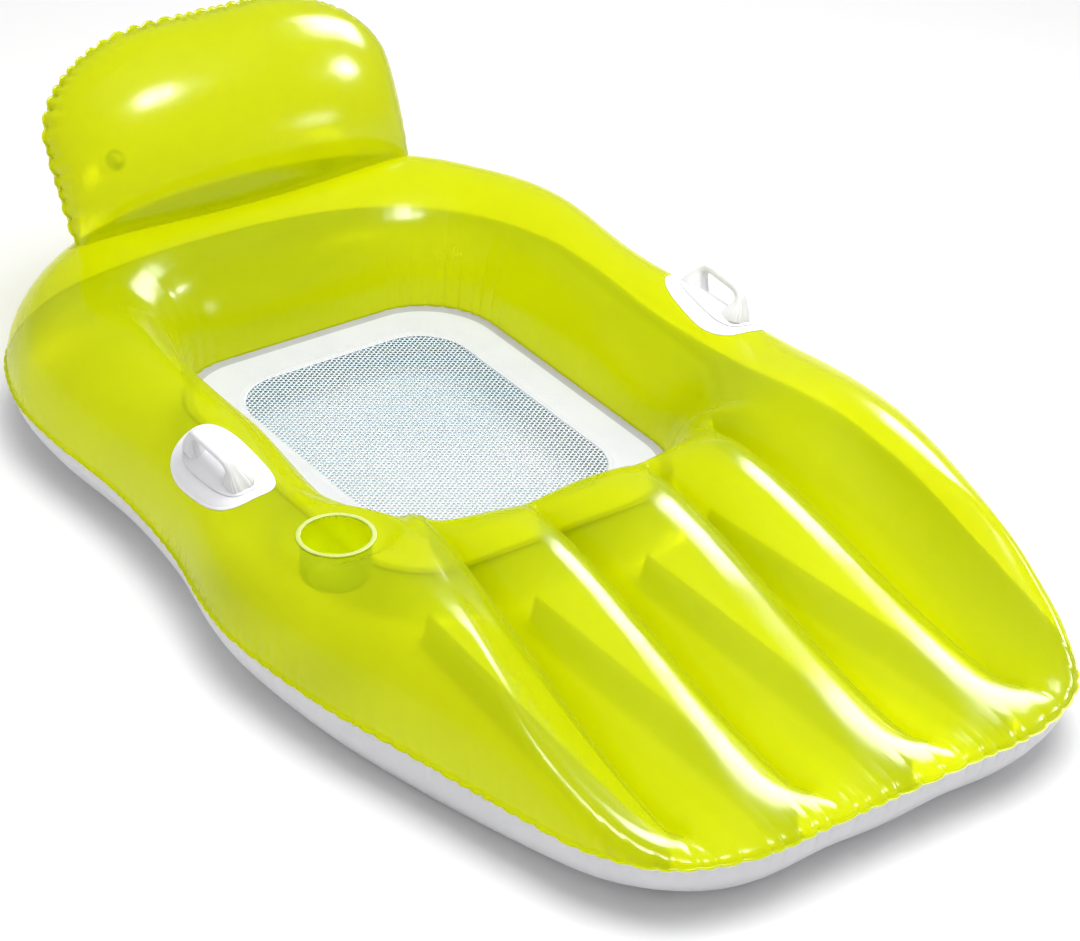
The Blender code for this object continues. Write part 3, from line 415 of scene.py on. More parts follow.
@dataclass(frozen=True)
class VinylFinish:
    """Opaque vinyl: calendered sheet or soft moulding, with a fine grain and rubbed places."""

    name: str
    colour: Colour
    worn: Colour
    rough: tuple[float, float] = (0.32, 0.46)
    grain_scale: float = 700.0
    grain: float = 0.00006
    emboss_scale: float = 0.0
    emboss: float = 0.0
    # Colour on the back of the faces; on the bottom sheet it is painted shade with painted lime
    # light.
    inner: Colour | None = None
    rub_scale: float = 14.0
    rub_range: tuple[float, float] = (0.35, 0.75)
    rough_scale: float = 60.0

    def make(self) -> bpy.types.Material:
        """Build the finish's nodes.

        Returns:
            The material.
        """
        g = Graph(self.name)
        rubbed = g.noise(self.rub_scale, 5.0, rough=0.65)
        colour = g.blend(g.spread(rubbed, 0.0, 1.0, *self.rub_range), self.colour, self.worn)
        # The back of the faces takes the inner colour: on the bottom sheet this is painted shade
        # with painted lime light.
        if self.inner:
            colour = g.two_sided(colour, self.inner)
        rough = g.spread(g.noise(self.rough_scale, 4.0), *self.rough)
        normal = g.bump(g.noise(self.grain_scale, 2.0), self.grain)
        if self.emboss:
            cells = g.node("TexVoronoi", {"Vector": g.place, "Scale": self.emboss_scale})
            normal = g.bump(cells.outputs["Distance"], self.emboss, normal)
        return g.finish(g.node("BsdfPrincipled", {
            "Base Color": colour, "Roughness": rough, "Normal": normal}))


@dataclass(frozen=True)
class ClearVinylFinish:
    """Milky vinyl that lets some light through."""

    name: str
    colour: Colour
    pale: Colour
    tint: Colour
    solid: float = 0.7
    rough: tuple[float, float] = (0.25, 0.36)
    cloud_scale: float = 55.0
    rough_scale: float = 120.0
    grain: tuple[float, float] = (650.0, 0.00006)
    dimples: tuple[float, float] = (90.0, 0.0002)

    def make(self) -> bpy.types.Material:
        """Build the finish's nodes.

        Returns:
            The material.
        """
        g = Graph(self.name)
        clouds = g.spread(g.noise(self.cloud_scale, 4.0), 0.0, 1.0)
        colour = g.blend(clouds, self.colour, self.pale)
        (fine, fine_depth), (wide, wide_depth) = self.grain, self.dimples
        normal = g.bump(g.noise(fine, 2.0), fine_depth, g.bump(g.noise(wide, 2.0), wide_depth))
        clear = g.node("BsdfTransparent", {"Color": self.tint})
        vinyl = g.node("BsdfPrincipled", {
            "Base Color": colour, "Normal": normal,
            "Roughness": g.spread(g.noise(self.rough_scale, 3.0), *self.rough)})
        mixed = {0: self.solid, 1: clear.outputs[0], 2: vinyl.outputs[0]}
        return g.finish(g.node("MixShader", mixed))


@dataclass(frozen=True)
class NetFinish:
    """Coated white yarn of the seat net, tinted blue as painted shade, and bluer in large patches.
    """

    name: str
    yarn: Colour
    blue_shade: Colour
    blue_shade_scale: float = 3.2
    blue_shade_range: tuple[float, float] = (0.42, 0.6)
    twist_scale: float = 620.0
    twist_depth: float = 0.00008
    rough_scale: float = 200.0
    rough: tuple[float, float] = (0.45, 0.65)
    sheen: float = 0.15

    def make(self) -> bpy.types.Material:
        """Build the finish's nodes.

        Returns:
            The material.
        """
        g = Graph(self.name)
        # Large patches of the bluer colour: painted shade.
        blue_shade_share = g.spread(g.noise(self.blue_shade_scale, 1.0), 0.0, 1.0, *self.blue_shade_range)
        wave = {"Vector": g.place, "Scale": self.twist_scale, "Distortion": 3.0}
        twist = g.node("TexWave", wave)
        return g.finish(g.node("BsdfPrincipled", {
            "Base Color": g.blend(blue_shade_share, self.yarn, self.blue_shade),
            "Roughness": g.spread(g.noise(self.rough_scale, 3.0), *self.rough),
            "Sheen Weight": self.sheen,
            "Normal": g.bump(twist.outputs["Fac"], self.twist_depth)}))


LIME_FILM = FilmFinish("lime_film", (0.985, 0.974, 0.035, 1), (0.965, 0.954, 0.025, 1),
                       (0.56, 0.68, 0.0, 1), (0.60, 0.72, 0.0, 1), 0.36, 0.15, sheen=0.4)
# Backrest film: a more solid copy of the lime film whose darker body colour is painted shade on the
# backrest.
BACKREST_FILM = FilmFinish("lime_backrest_film", (0.985, 0.974, 0.035, 1), (0.965, 0.954, 0.025, 1),
                           (0.53, 0.62, 0.0, 1), (0.57, 0.66, 0.0, 1), 0.50, 0.15, sheen=0.4)
WEB_FILM = FilmFinish("web_film", (0.985, 0.992, 0.72, 1), (0.98, 0.988, 0.68, 1),
                      (0.80, 0.90, 0.02, 1), (0.84, 0.93, 0.03, 1), 0.04, 0.0)
# Cup film: the dark body colour is painted shade on the outside of the cup wall, and the bright
# inner colour is painted light on its inside.
CUP_FILM = FilmFinish("lime_cup", (0.96, 0.985, 0.10, 1), (0.94, 0.97, 0.08, 1),
                      (0.13, 0.22, 0.0, 1), (0.15, 0.24, 0.0, 1), 0.74, 0.1, ripple=0.0002,
                      inner=(0.86, 0.95, 0.0, 1))
# Bottom sheet: the darker, greener inner colour is painted shade with painted lime light on the
# inside, where light arrives through the lime film.
WHITE_FILM = VinylFinish("white_film", (0.76, 0.76, 0.785, 1), (0.73, 0.73, 0.76, 1), (0.3, 0.42),
                         inner=(0.68, 0.72, 0.70, 1))
WHITE_BAND = VinylFinish("white_border", (0.63, 0.64, 0.69, 1), (0.59, 0.60, 0.65, 1), (0.4, 0.52),
                         emboss_scale=260.0, emboss=0.0002)
# Weld strip of the upper seat band: a dark grey that is painted shade at the foot of the seat wall,
# laid on a real raised weld strip.
BAND_WELD_SHADE = VinylFinish("white_border_weld_shade", (0.40, 0.40, 0.43, 1), (0.36, 0.36, 0.39, 1),
                        (0.3, 0.4), 400.0)
WHITE_MOULD = VinylFinish("white_vinyl", (0.80, 0.80, 0.82, 1), (0.76, 0.76, 0.785, 1),
                          (0.3, 0.4), 500.0)
# Both net colours carry a blue tone that is painted shade; the second, bluer one lies in large
# patches.
WHITE_NET = NetFinish("white_net", (0.76, 0.83, 0.90, 1), (0.66, 0.79, 0.90, 1))
# Walls of the net's holes: a dark blue that is painted shade, standing for the shadowed gaps under
# the net.
NET_EDGE_SHADE = NetFinish("white_net_edge_shade", (0.16, 0.26, 0.40, 1), (0.10, 0.20, 0.34, 1))
CUP_RING = ClearVinylFinish("clear_vinyl", (0.66, 0.75, 0.20, 1), (0.72, 0.80, 0.32, 1),
                            (0.93, 0.97, 0.55, 1), 0.75)
VALVE = ClearVinylFinish("valve_vinyl", (0.84, 0.88, 0.62, 1), (0.88, 0.91, 0.68, 1),
                         (0.97, 0.98, 0.8, 1), 1.0)


class Membrane:
    """Stretched film over a grid of places, settled by conjugate gradients."""

    def __init__(self, flat: np.ndarray, held: np.ndarray, closed: bool) -> None:
        """Prepare the film.

        Args:
            flat: Plan places, columns by rows by 2.
            held: Where the film is held.
            closed: Whether the last column joins the first.
        """
        self.held = held
        corners = self._corners(flat)
        self.stiff = np.zeros((4, 4, *corners[0].shape[:2]))
        share = np.zeros((4, *corners[0].shape[:2]))
        for tri in ((0, 1, 2), (0, 2, 3), (1, 2, 3), (1, 3, 0)):
            p = [corners[i] for i in tri]
            first, second = p[1] - p[0], p[2] - p[0]
            area = np.abs(first[..., 0] * second[..., 1] - first[..., 1] * second[..., 0]) / 2
            sides = [p[(i + 2) % 3] - p[(i + 1) % 3] for i in range(3)]
            for i in range(3):
                share[tri[i]] += area / 6
                for j in range(3):
                    self.stiff[tri[i], tri[j]] += (sides[i] * sides[j]).sum(-1) / (8 * area)
        if not closed:
            self.stiff[..., -1, :] = 0.0
            share[:, -1] = 0.0
        self.share = self._gather(share)
        own = np.stack([self.stiff[i, i] for i in range(4)])
        self.diagonal = np.maximum(self._gather(own), TINY)

    @staticmethod
    def _corners(values: np.ndarray) -> list[np.ndarray]:
        """Values at the four corners of each face."""
        ahead = np.roll(values, -1, axis=0)
        return [values[:, :-1], values[:, 1:], ahead[:, 1:], ahead[:, :-1]]

    def _gather(self, parts: np.ndarray) -> np.ndarray:
        """Sum the faces' corner values at each point.

        Args:
            parts: Values at the four corners of each face.

        Returns:
            The sum at each point.
        """
        here = np.zeros(self.held.shape)
        ahead = np.zeros(self.held.shape)
        here[:, :-1] += parts[0]
        here[:, 1:] += parts[1]
        ahead[:, 1:] += parts[2]
        ahead[:, :-1] += parts[3]
        return here + np.roll(ahead, 1, axis=0)

    def pull(self, height: np.ndarray) -> np.ndarray:
        """Pull of the film at each point for given heights."""
        return self._gather(np.einsum("ijkl,jkl->ikl", self.stiff, np.stack(self._corners(height))))

    def settle(self, start: np.ndarray, load: float, steps: int, close: float = 1e-7) -> np.ndarray:
        """Find the heights at rest.

        Args:
            start: First guess, which also gives the held heights.
            load: Air pressure for the film's tension.
            steps: Most steps to take.
            close: Share of the first error at which to stop.

        Returns:
            The heights.
        """
        height = start.copy()
        left = np.where(self.held, 0.0, load * self.share - self.pull(height))
        eased = left / self.diagonal
        way = eased.copy()
        now = first = (left * eased).sum()
        scale = max(first, (np.where(self.held, 0.0, load * self.share) ** 2 / self.diagonal).sum())
        for _ in range(steps):
            if now <= close * close * scale:
                break
            along = np.where(self.held, 0.0, self.pull(way))
            step = now / (way * along).sum()
            height += step * way
            left -= step * along
            eased = left / self.diagonal
            then, now = now, (left * eased).sum()
            way = eased + now / then * way
        return height


@dataclass
class HalfOutline:
    """A half outline that is read by its share of the length, rear to foot."""

    points: np.ndarray
    samples: int = 6000
    share: np.ndarray = field(init=False)

    def __post_init__(self) -> None:
        """Walk the outline at even steps."""
        length = np.concatenate([[0.0], np.cumsum(np.hypot(*np.diff(self.points, axis=0).T))])
        self.share = np.linspace(0.0, 1.0, self.samples)
        self.points = read_line(self.points, length, self.share * length[-1])
        run = np.gradient(self.points, axis=0)
        run[0], run[-1] = (1.0, 0.0), (-1.0, 0.0)
        run = unit(run)
        self.out = np.c_[-run[:, 1], run[:, 0]]

    def at(self, share: np.ndarray | float) -> np.ndarray:
        """Points at shares of the length."""
        return read_line(self.points, self.share, share)

    def outward(self, share: np.ndarray) -> np.ndarray:
        """Unit normals away from the middle of the float."""
        return unit(read_line(self.out, self.share, share))

    def nearest(self, point: Sequence[float]) -> float:
        """Share of the point that lies nearest."""
        return float(self.share[np.hypot(*(self.points - np.array(point)).T).argmin()])

    def crossing(self, x: float) -> float:
        """Find where the foot side crosses a distance from the middle line.

        Args:
            x: The distance.

        Returns:
            The share of the length there.
        """
        back = self.points[::-1, 0]
        stop = int(np.argmax(back >= x))
        part = (x - back[stop - 1]) / (back[stop] - back[stop - 1])
        share = self.share[::-1]
        return float(share[stop - 1] + (share[stop] - share[stop - 1]) * part)


def smooth_curve(points: np.ndarray, steps: int) -> np.ndarray:
    """Catmull-Rom curve through a half outline, mirrored at both ends.

    Args:
        points: Places that the curve passes.
        steps: Steps between two of them.

    Returns:
        The curve's points.
    """
    mirror = (-1.0, 1.0)
    return curve_through(np.vstack([points[1] * mirror, points, points[-2] * mirror]), steps)


def rounded_half(half: float, rear: float, front: float, radius: float, steps: int) -> np.ndarray:
    """Right half of a rounded rectangle, from its rear middle to its front middle.

    Args:
        half: Half its width.
        rear: Y of its rear side.
        front: Y of its front side.
        radius: Radius of its corners.
        steps: Points on each corner.

    Returns:
        The points.
    """
    turn = np.linspace(0.0, math.pi / 2, steps)
    upper = np.c_[half - radius + radius * np.sin(turn), rear - radius + radius * np.cos(turn)]
    lower = np.c_[half - radius + radius * np.cos(turn), front + radius - radius * np.sin(turn)]
    return np.vstack([[0.0, rear], upper, lower, [0.0, front]])


@dataclass(frozen=True)
class Gathers:
    """Small folds where a film is gathered into a seam: sharp creases with puffs between them."""

    puff: float
    crease: float
    sharpness: float
    seed: int
    spacing: tuple[float, float] = (0.62, 1.38)
    depths: tuple[float, float] = (0.45, 1.3)
    reaches: tuple[float, float] = (0.6, 1.7)
    full_puff: float = 0.02
    roundness: float = 0.7

    def along(self, place: np.ndarray, pitch: Callable[[float], float],
              strength: Callable[[np.ndarray], np.ndarray]) -> tuple[np.ndarray, np.ndarray]:
        """Depth of the gathers along a seam.

        Args:
            place: Distance along the seam of each column.
            pitch: Distance between creases at a place.
            strength: Share of the full depth at each place.

        Returns:
            How far each column stands out at the seam, and how far in the fold reaches, as a share.
        """
        draw = np.random.default_rng(self.seed)
        marks = [float(place[0])]
        while marks[-1] < place[-1]:
            marks.append(marks[-1] + pitch(marks[-1]) * draw.uniform(*self.spacing))
        marks[-1] = float(place[-1])
        marks = np.unique([place[np.abs(place - m).argmin()] for m in marks])
        depth = draw.uniform(*self.depths, len(marks))
        depth[-1] = depth[0]
        reach = draw.uniform(*self.reaches, len(marks))
        reach[-1] = reach[0]
        after = np.clip(np.searchsorted(marks, place, side="right"), 1, len(marks) - 1)
        low, high = marks[after - 1], marks[after]
        t = (place - low) / (high - low)
        swollen = np.sin(np.clip(t, 0, 1) * math.pi) ** self.roundness
        pinch = depth[after - 1] * np.exp(-(place - low) / self.sharpness)
        pinch = np.maximum(pinch, depth[after] * np.exp(-(high - place) / self.sharpness))
        full = np.minimum(1.0, (high - low) / self.full_puff)
        out = self.puff * (swollen - 0.5) * full - self.crease * pinch
        near = np.where(t < 0.5, reach[after - 1], reach[after])
        return out * strength(place), near


@dataclass
class InflatedBody:
    """The two body sheets, welded at the outer seam and at the seat seam."""

    width: float = 1.03
    length: float = 1.634
    seam_height: float = 0.09
    seam_margin: float = 0.004
    film: float = 0.00042
    gap: float = 0.0003
    seat_width: float = 0.52
    seat_rear_share: float = 0.6304
    seat_front_share: float = -0.1383
    seat_corner: float = 0.12
    seat_height: float = 0.065
    web_spacing_share: float = 0.1825
    web_seat_shares: tuple[float, float] = (0.9, 0.3615)
    web_foot_top: float = 0.068
    web_rear_top: float = 0.15
    web_bottom: float = 0.05
    web_ends: tuple[float, float] = (2 / 9, 7 / 9)
    pinch: float = 0.012
    rows: int = 63
    finest: int = 8
    outline: tuple = (
        (0.0, 1.0), (0.3, 0.988), (0.565, 0.942), (0.79, 0.83), (0.9, 0.68), (0.922, 0.53),
        (0.905, 0.32), (0.93, 0.12), (0.985, -0.04), (1.0, -0.16), (0.965, -0.35), (0.895, -0.53),
        (0.812, -0.742), (0.752, -0.862), (0.632, -0.955), (0.435, -0.998), (0.2, -1.0),
        (0.0, -1.0))
    rear_bulge: tuple = (0.56, 1.15, 1.15, 1.15)
    side_bulge: tuple = (0.78, 1.4, 1.4, 1.4)
    hip_bulge: tuple = (0.78, 1.1, 0.98, 0.98)
    leg_bulge: tuple = (1.0, 1.6, 1.05, 0.9)
    channel_bulge: tuple = (1.0, 0.25, 0.8, 1.25)
    ray_spots: tuple = ((0.78, 0.845), (0.92, 0.48), (0.91, 0.24), (1.0, -0.12), (0.82, -0.73))
    steps: tuple = (12, 12, 8, 10, 16, 9, 12, 6)
    outline_steps: int = 120
    corner_steps: int = 200
    cup_land: float = 0.058
    valve_land: float = 0.018
    land_fade: float = 0.034
    cup_hole: float = 0.0465
    valve_hole: float = 0.0085
    first_steps: int = 900
    later_steps: int = 260
    rim_gathers: Gathers = Gathers(0.0030, 0.0020, 0.004, 11)
    rim_pitch: tuple[float, float] = (0.030, 0.021)
    rim_least: float = 0.28
    rim_more: float = 0.40
    rim_calm_y: float = 0.25
    rim_run: float = 0.95
    rim_reach: float = 0.015
    rim_droop: float = 0.006
    turn_out: float = 0.004
    foot_line: float = -0.62
    seat_gathers: Gathers = Gathers(0.0036, 0.0032, 0.0045, 23)
    seat_pitch: float = 0.024
    seat_reach: float = 0.045
    seat_least: float = 0.08
    seat_flat: float = 0.006
    corner_share: float = 0.4
    corner_reach: float = 0.075
    front_corner_share: float = 0.25
    side_folds: tuple = ((0.152, 0.0026, 7.0), (0.174, 0.0020, 5.0))
    side_fold_width: float = 0.0075
    side_start: float = 0.1
    side_run: float = 0.12
    side_wander: float = 0.035
    side_phase: float = 200.0
    crease_seed: int = 5
    crease_fan: float = 1.25
    crease_wander: float = 0.12
    crease_count: int = 6
    crease_start: float = 0.008
    crease_least_reach: float = 0.004
    crease_depth: float = 0.0015
    crease_reach: float = 0.034
    crease_width: float = 0.0035
    pinch_width: float = 0.008
    pinch_reach: float = 0.042
    pinch_back: float = 0.006
    pinch_run: float = 0.016
    points: dict = field(default_factory=dict, init=False)

    def __post_init__(self) -> None:
        """Draw the outlines and lay the grid."""
        self.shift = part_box("seat_border_upper")[1].y - self.seat_rear
        scale = np.array((self.width, self.length)) / 2
        self.outer = HalfOutline(smooth_curve(np.array(self.outline) * scale, self.outline_steps))
        self.seat = HalfOutline(rounded_half(self.seat_width / 2, self.seat_rear, self.seat_front,
                                             self.seat_corner, self.corner_steps))
        self.row_share = (1.0 - np.cos(np.linspace(0.0, math.pi, self.rows + 1))) / 2
        self.grid = self._grid(self.finest)
        self.columns = len(self.grid["rim"])

    @property
    def seat_rear(self) -> float:
        """Y of the seat seam's rear side, before the move to the middle."""
        return self.seat_rear_share * self.length / 2

    @property
    def seat_front(self) -> float:
        """Y of the seat seam's front side, before the move to the middle."""
        return self.seat_front_share * self.length / 2

    def _anchors(self) -> np.ndarray:
        """Lay out the rays between which shares and bulges are blended.

        Returns:
            Rows of outer share, seat share, bottom bulge and three top bulges.
        """
        scale = np.array((self.width, self.length)) / 2
        half, turn = self.seat_width / 2, self.seat_corner * (1.0 - math.sqrt(0.5))
        out, seat = self.outer, self.seat
        shoulder, side, waist, broad, leg = (out.nearest(scale * spot) for spot in self.ray_spots)
        web_outer, web_inner = (self.web_spacing_share * self.width * k for k in (1.5, 0.5))
        hip = seat.nearest((half, self.seat_front + self.seat_corner))
        web = seat.crossing(half * self.web_seat_shares[0])
        middle = (self.seat_rear + self.seat_front) / 2
        return np.array([
            (0.0, 0.0, *self.rear_bulge),
            (shoulder, seat.nearest((half - turn, self.seat_rear - turn)), *self.rear_bulge),
            (side, seat.nearest((half, self.seat_rear - self.seat_corner)), *self.side_bulge),
            (waist, seat.nearest((half, middle)), *self.side_bulge),
            (broad, hip, *self.hip_bulge),
            (leg, hip + (web - hip) * 4 / 7, *self.leg_bulge),
            (out.crossing(web_outer), web, *self.channel_bulge),
            (out.crossing(web_inner), seat.crossing(half * self.web_seat_shares[1]),
             *self.channel_bulge),
            (1.0, 1.0, *self.channel_bulge)])

    def _grid(self, fineness: int) -> dict[str, np.ndarray]:
        """Lay rays from the outer seam to the seat seam.

        Args:
            fineness: How much finer than the widest spacing.

        Returns:
            Arrays for the whole ring: rim, rim_out, seat, seat_in, bulges, flat places and the
            webs' columns.
        """
        anchors, rays = self._anchors(), []
        for here, there, count in zip(anchors[:-1], anchors[1:], self.steps):
            t = np.arange(count * fineness)[:, None] / (count * fineness)
            part = here + (there - here) * t
            part[:, 2:] = here[2:] + (there[2:] - here[2:]) * ease(t)
            rays.append(part)
        rays = np.vstack(rays + [anchors[-1:]])
        mirrored = np.vstack([rays, rays[-2:0:-1]])
        sign = np.ones((len(mirrored), 1))
        sign[len(rays):] = -1.0
        flip = np.c_[sign, np.ones_like(sign)]
        rim, seat = self.outer.at(mirrored[:, 0]) * flip, self.seat.at(mirrored[:, 1]) * flip
        move = (0.0, self.shift)
        marks = np.cumsum([0, *self.steps]) * fineness
        whole = len(mirrored)
        return {
            "rim": rim + move, "seat": seat + move,
            "rim_out": self.outer.outward(mirrored[:, 0]) * flip,
            "seat_in": -self.seat.outward(mirrored[:, 1]) * flip,
            "bulge": mirrored[:, 2:],
            "flat": (rim + move)[:, None] + (seat - rim)[:, None] * self.row_share[None, :, None],
            "webs": np.array([marks[6], marks[7], whole - marks[7], whole - marks[6]]),
        }

    def web_span(self) -> tuple[int, int]:
        """First and last row of the webs."""
        return tuple(round(share * self.rows) for share in self.web_ends)

    def valley(self, row: np.ndarray) -> np.ndarray:
        """Height of a valley of the top sheet: low at the foot, high near the seat.

        Args:
            row: Numbers of the rows.

        Returns:
            The height at each.
        """
        first, last = self.web_span()
        span = self.row_share[last] - self.row_share[first]
        rise = ease((self.row_share[row] - self.row_share[first]) / span)
        return self.web_foot_top + (self.web_rear_top - self.web_foot_top) * rise

    def settle(self) -> None:
        """Blow up both sheets, coarse grid first, and keep their points."""
        first, last = self.web_span()
        rows = np.arange(first, last + 1)
        heights = {Sheet.TOP: self.valley(rows), Sheet.BOTTOM: np.full(len(rows), self.web_bottom)}
        guess: dict[Any, np.ndarray] = {}
        fineness = 1
        while fineness <= self.finest:
            grid = self._grid(fineness)
            shape = grid["flat"].shape[:2]
            held = np.zeros(shape, bool)
            held[:, [0, -1]] = True
            held[np.ix_(grid["webs"], rows)] = True
            film = Membrane(grid["flat"], held, True)
            for key in (Sheet.TOP, Sheet.BOTTOM, "swell"):
                start = self._finer(guess[key]) if key in guess else np.full(shape, 0.0)
                start[:, 0] = 0.0 if key == "swell" else self.seam_height
                start[:, -1] = 0.0 if key == "swell" else self.seat_height
                start[np.ix_(grid["webs"], rows)] = 0.0 if key == "swell" else heights[key]
                steps = self.first_steps if fineness == 1 else self.later_steps
                guess[key] = film.settle(start, 1.0 if key == "swell" else 0.0, steps)
            fineness *= 2
        swell = np.sqrt(2.0 * np.maximum(guess["swell"], 0.0))
        bulge = self.grid["bulge"]
        stations = np.array([0.0, 0.5, 1.0])
        top_bulge = np.stack([np.interp(self.row_share, stations, row) for row in bulge[:, 1:]])
        top = guess[Sheet.TOP] + top_bulge * swell + self.gap + self.film
        bottom = np.maximum(guess[Sheet.BOTTOM] - bulge[:, :1] * swell - self.film, 0.0)
        flat = self.grid["flat"]
        self.points[Sheet.TOP] = np.concatenate([flat, top[..., None]], axis=2)
        self.points[Sheet.BOTTOM] = np.concatenate([flat, bottom[..., None]], axis=2)
        self._press_lands()
        self._gather_seams()

    @staticmethod
    def _finer(values: np.ndarray) -> np.ndarray:
        """Double a closed grid's columns, with means between them.

        Args:
            values: The coarse grid's values.

        Returns:
            The finer grid's values.
        """
        made = np.repeat(values, 2, axis=0)
        made[1::2] = (values + np.roll(values, -1, axis=0)) / 2
        return made

    def _press_lands(self) -> None:
        """Flatten the top sheet where the cup's ring and the valve's flange are welded on."""
        spots = [(*ring_plane("cup_rim"), self.cup_land), (*flange_plane("body"), self.valve_land)]
        points = self.points[Sheet.TOP]
        for place, normal, radius in spots:
            off, across = from_axis(points, place, normal)
            pull = ease((radius + self.land_fade - across) / self.land_fade)
            pull = np.where(np.abs(off) < 3 * radius, pull, 0.0)
            points -= (off * pull)[..., None] * normal

    def _gather_seams(self) -> None:
        """Add the gathers at the seams and the creases at the webs' ends."""
        rim, seat = self.grid["rim"], self.grid["seat"]
        place, inner = walked(rim), walked(seat)

        def pitch(s: float) -> float:
            """Distance between creases, which is wider round the foot."""
            return self.rim_pitch[0 if np.interp(s, place, rim[:, 1]) < self.foot_line else 1]

        def strength(s: np.ndarray) -> np.ndarray:
            """Share of the depth, which grows towards the foot."""
            y = np.interp(s, place, rim[:, 1])
            return self.rim_least + self.rim_more * ease((self.rim_calm_y - y) / self.rim_run)

        out, reach = self.rim_gathers.along(place, pitch, strength)
        half = np.array([self.seat_width, self.seat_rear - self.seat_front]) / 2
        corner = half - self.seat_corner * self.corner_share
        middle = np.array([0.0, self.shift + (self.seat_rear + self.seat_front) / 2])
        from_corner = np.linalg.norm(np.abs(seat - middle) - corner, axis=1)
        near = np.exp(-(from_corner / self.corner_reach) ** 2)
        near *= np.where(seat[:, 1] > middle[1], 1.0, self.front_corner_share)
        folds, fold_reach = self.seat_gathers.along(
            inner, lambda s: self.seat_pitch,
            lambda s: self.seat_least + np.interp(s, inner, near))
        for sheet, points in self.points.items():
            normal = self.normals(points, sheet)
            steps = np.linalg.norm(np.diff(points, axis=1), axis=2)
            from_rim = np.c_[np.zeros(len(points)), np.cumsum(steps, axis=1)]
            from_seat = from_rim[:, -1:] - from_rim
            fade = np.exp(-(from_rim / (self.rim_reach * reach[:, None])) ** 1.15)
            move = out[:, None] * fade
            if sheet is Sheet.TOP:
                fold_fade = np.exp(-(from_seat / (self.seat_reach * fold_reach[:, None])) ** 1.3)
                move += folds[:, None] * fold_fade * ease(from_seat / self.seat_flat)
                sides = ease((np.abs(seat[:, 0]) - self.side_start) / self.side_run) * (1.0 - near)
                for distance, depth, wave in self.side_folds:
                    turn = inner * wave + distance * self.side_phase
                    wander = distance * (1.0 + self.side_wander * np.sin(turn))
                    line = np.exp(-((from_seat - wander[:, None]) / self.side_fold_width) ** 2)
                    move -= (depth * sides)[:, None] * line
                move += self._web_creases(points)
            flat_out = np.concatenate([self.grid["rim_out"], np.zeros((self.columns, 1))], axis=1)
            share = ease(1.0 - from_rim / self.turn_out)[..., None]
            way = unit(normal * (1.0 - share) + flat_out[:, None] * share)
            points += way * move[..., None]
            droop = np.exp(-from_rim / self.rim_droop)
            points[..., 2] -= (np.maximum(out, 0.0) * 0.5)[:, None] * droop
            if sheet is Sheet.BOTTOM:
                points[..., 2] = np.maximum(points[..., 2], 0.0)

    def _web_creases(self, points: np.ndarray) -> np.ndarray:
        """Fine creases that fan out from the ends of each valley.

        Args:
            points: The top sheet's points.

        Returns:
            How far each point moves out.
        """
        move = np.zeros(points.shape[:2])
        first, last = self.web_span()
        draw = np.random.default_rng(self.crease_seed)
        for ray in self.grid["webs"]:
            for row, ahead in ((first, -1.0), (last, 1.0)):
                centre = points[ray, row, :2]
                run = unit(points[ray, last, :2] - points[ray, first, :2]) * ahead
                away = points[..., :2] - centre
                reach = np.linalg.norm(away, axis=-1)
                angle = np.arctan2(away[..., 0] * run[1] - away[..., 1] * run[0], away @ run)
                fan = np.linspace(-self.crease_fan, self.crease_fan, self.crease_count)
                wander = draw.uniform(-self.crease_wander, self.crease_wander, self.crease_count)
                for turn in fan + wander:
                    off = np.abs(angle - turn) * np.maximum(reach, self.crease_least_reach)
                    depth = self.crease_depth * draw.uniform(0.5, 1.0)
                    line = np.exp(-(off / self.crease_width) ** 1.3)
                    fade = np.exp(-(reach / self.crease_reach) ** 2)
                    move -= depth * line * fade * ease(reach / self.crease_start)
                if row == first:
                    beyond = away @ run
                    across = np.sqrt(np.maximum(reach ** 2 - beyond ** 2, 0.0))
                    line = np.exp(-(across / self.pinch_width) ** 1.2)
                    fade = np.exp(-(np.abs(beyond) / self.pinch_reach) ** 2)
                    begun = ease((beyond + self.pinch_back) / self.pinch_run)
                    move -= self.pinch * line * fade * begun
        return move

    @staticmethod
    def normals(points: np.ndarray, sheet: Sheet) -> np.ndarray:
        """Outward normals of a sheet's grid.

        Args:
            points: The sheet's points, columns by rows.
            sheet: Which sheet.

        Returns:
            The normal at each point.
        """
        along = np.roll(points, -1, axis=0) - np.roll(points, 1, axis=0)
        inward = np.gradient(points, axis=1)
        return unit(np.cross(inward, along)) * sheet.value

    def whole_sheet(self, sheet: Sheet) -> tuple[np.ndarray, np.ndarray]:
        """Join a sheet and its welded margins at both seams.

        Args:
            sheet: Which sheet.

        Returns:
            Points and faces.
        """
        body = self.points[sheet]
        lift = 0.5 * self.gap * sheet.value
        grid = self.grid
        rim = body[:, 0].copy()
        rim[:, :2] += grid["rim_out"] * self.seam_margin
        rim[:, 2] += lift
        seat = np.concatenate([grid["seat"] + grid["seat_in"] * self.seam_margin,
                               np.full((self.columns, 1), body[0, -1, 2] + lift)], axis=1)
        points = np.concatenate([rim[:, None], body, seat[:, None]], axis=1)
        faces = grid_faces(self.columns, points.shape[1], True)
        if sheet is Sheet.BOTTOM:
            faces = faces[:, ::-1]
        return points.reshape(-1, 3), faces

    def build(self) -> BVHTree:
        """Make both sheets.

        Returns:
            Search tree of the top sheet, for the pieces that are welded to it.
        """
        self.settle()
        top, faces = self.whole_sheet(Sheet.TOP)
        tree = surface_tree(top, faces)
        keep = self.open_holes(top, faces)
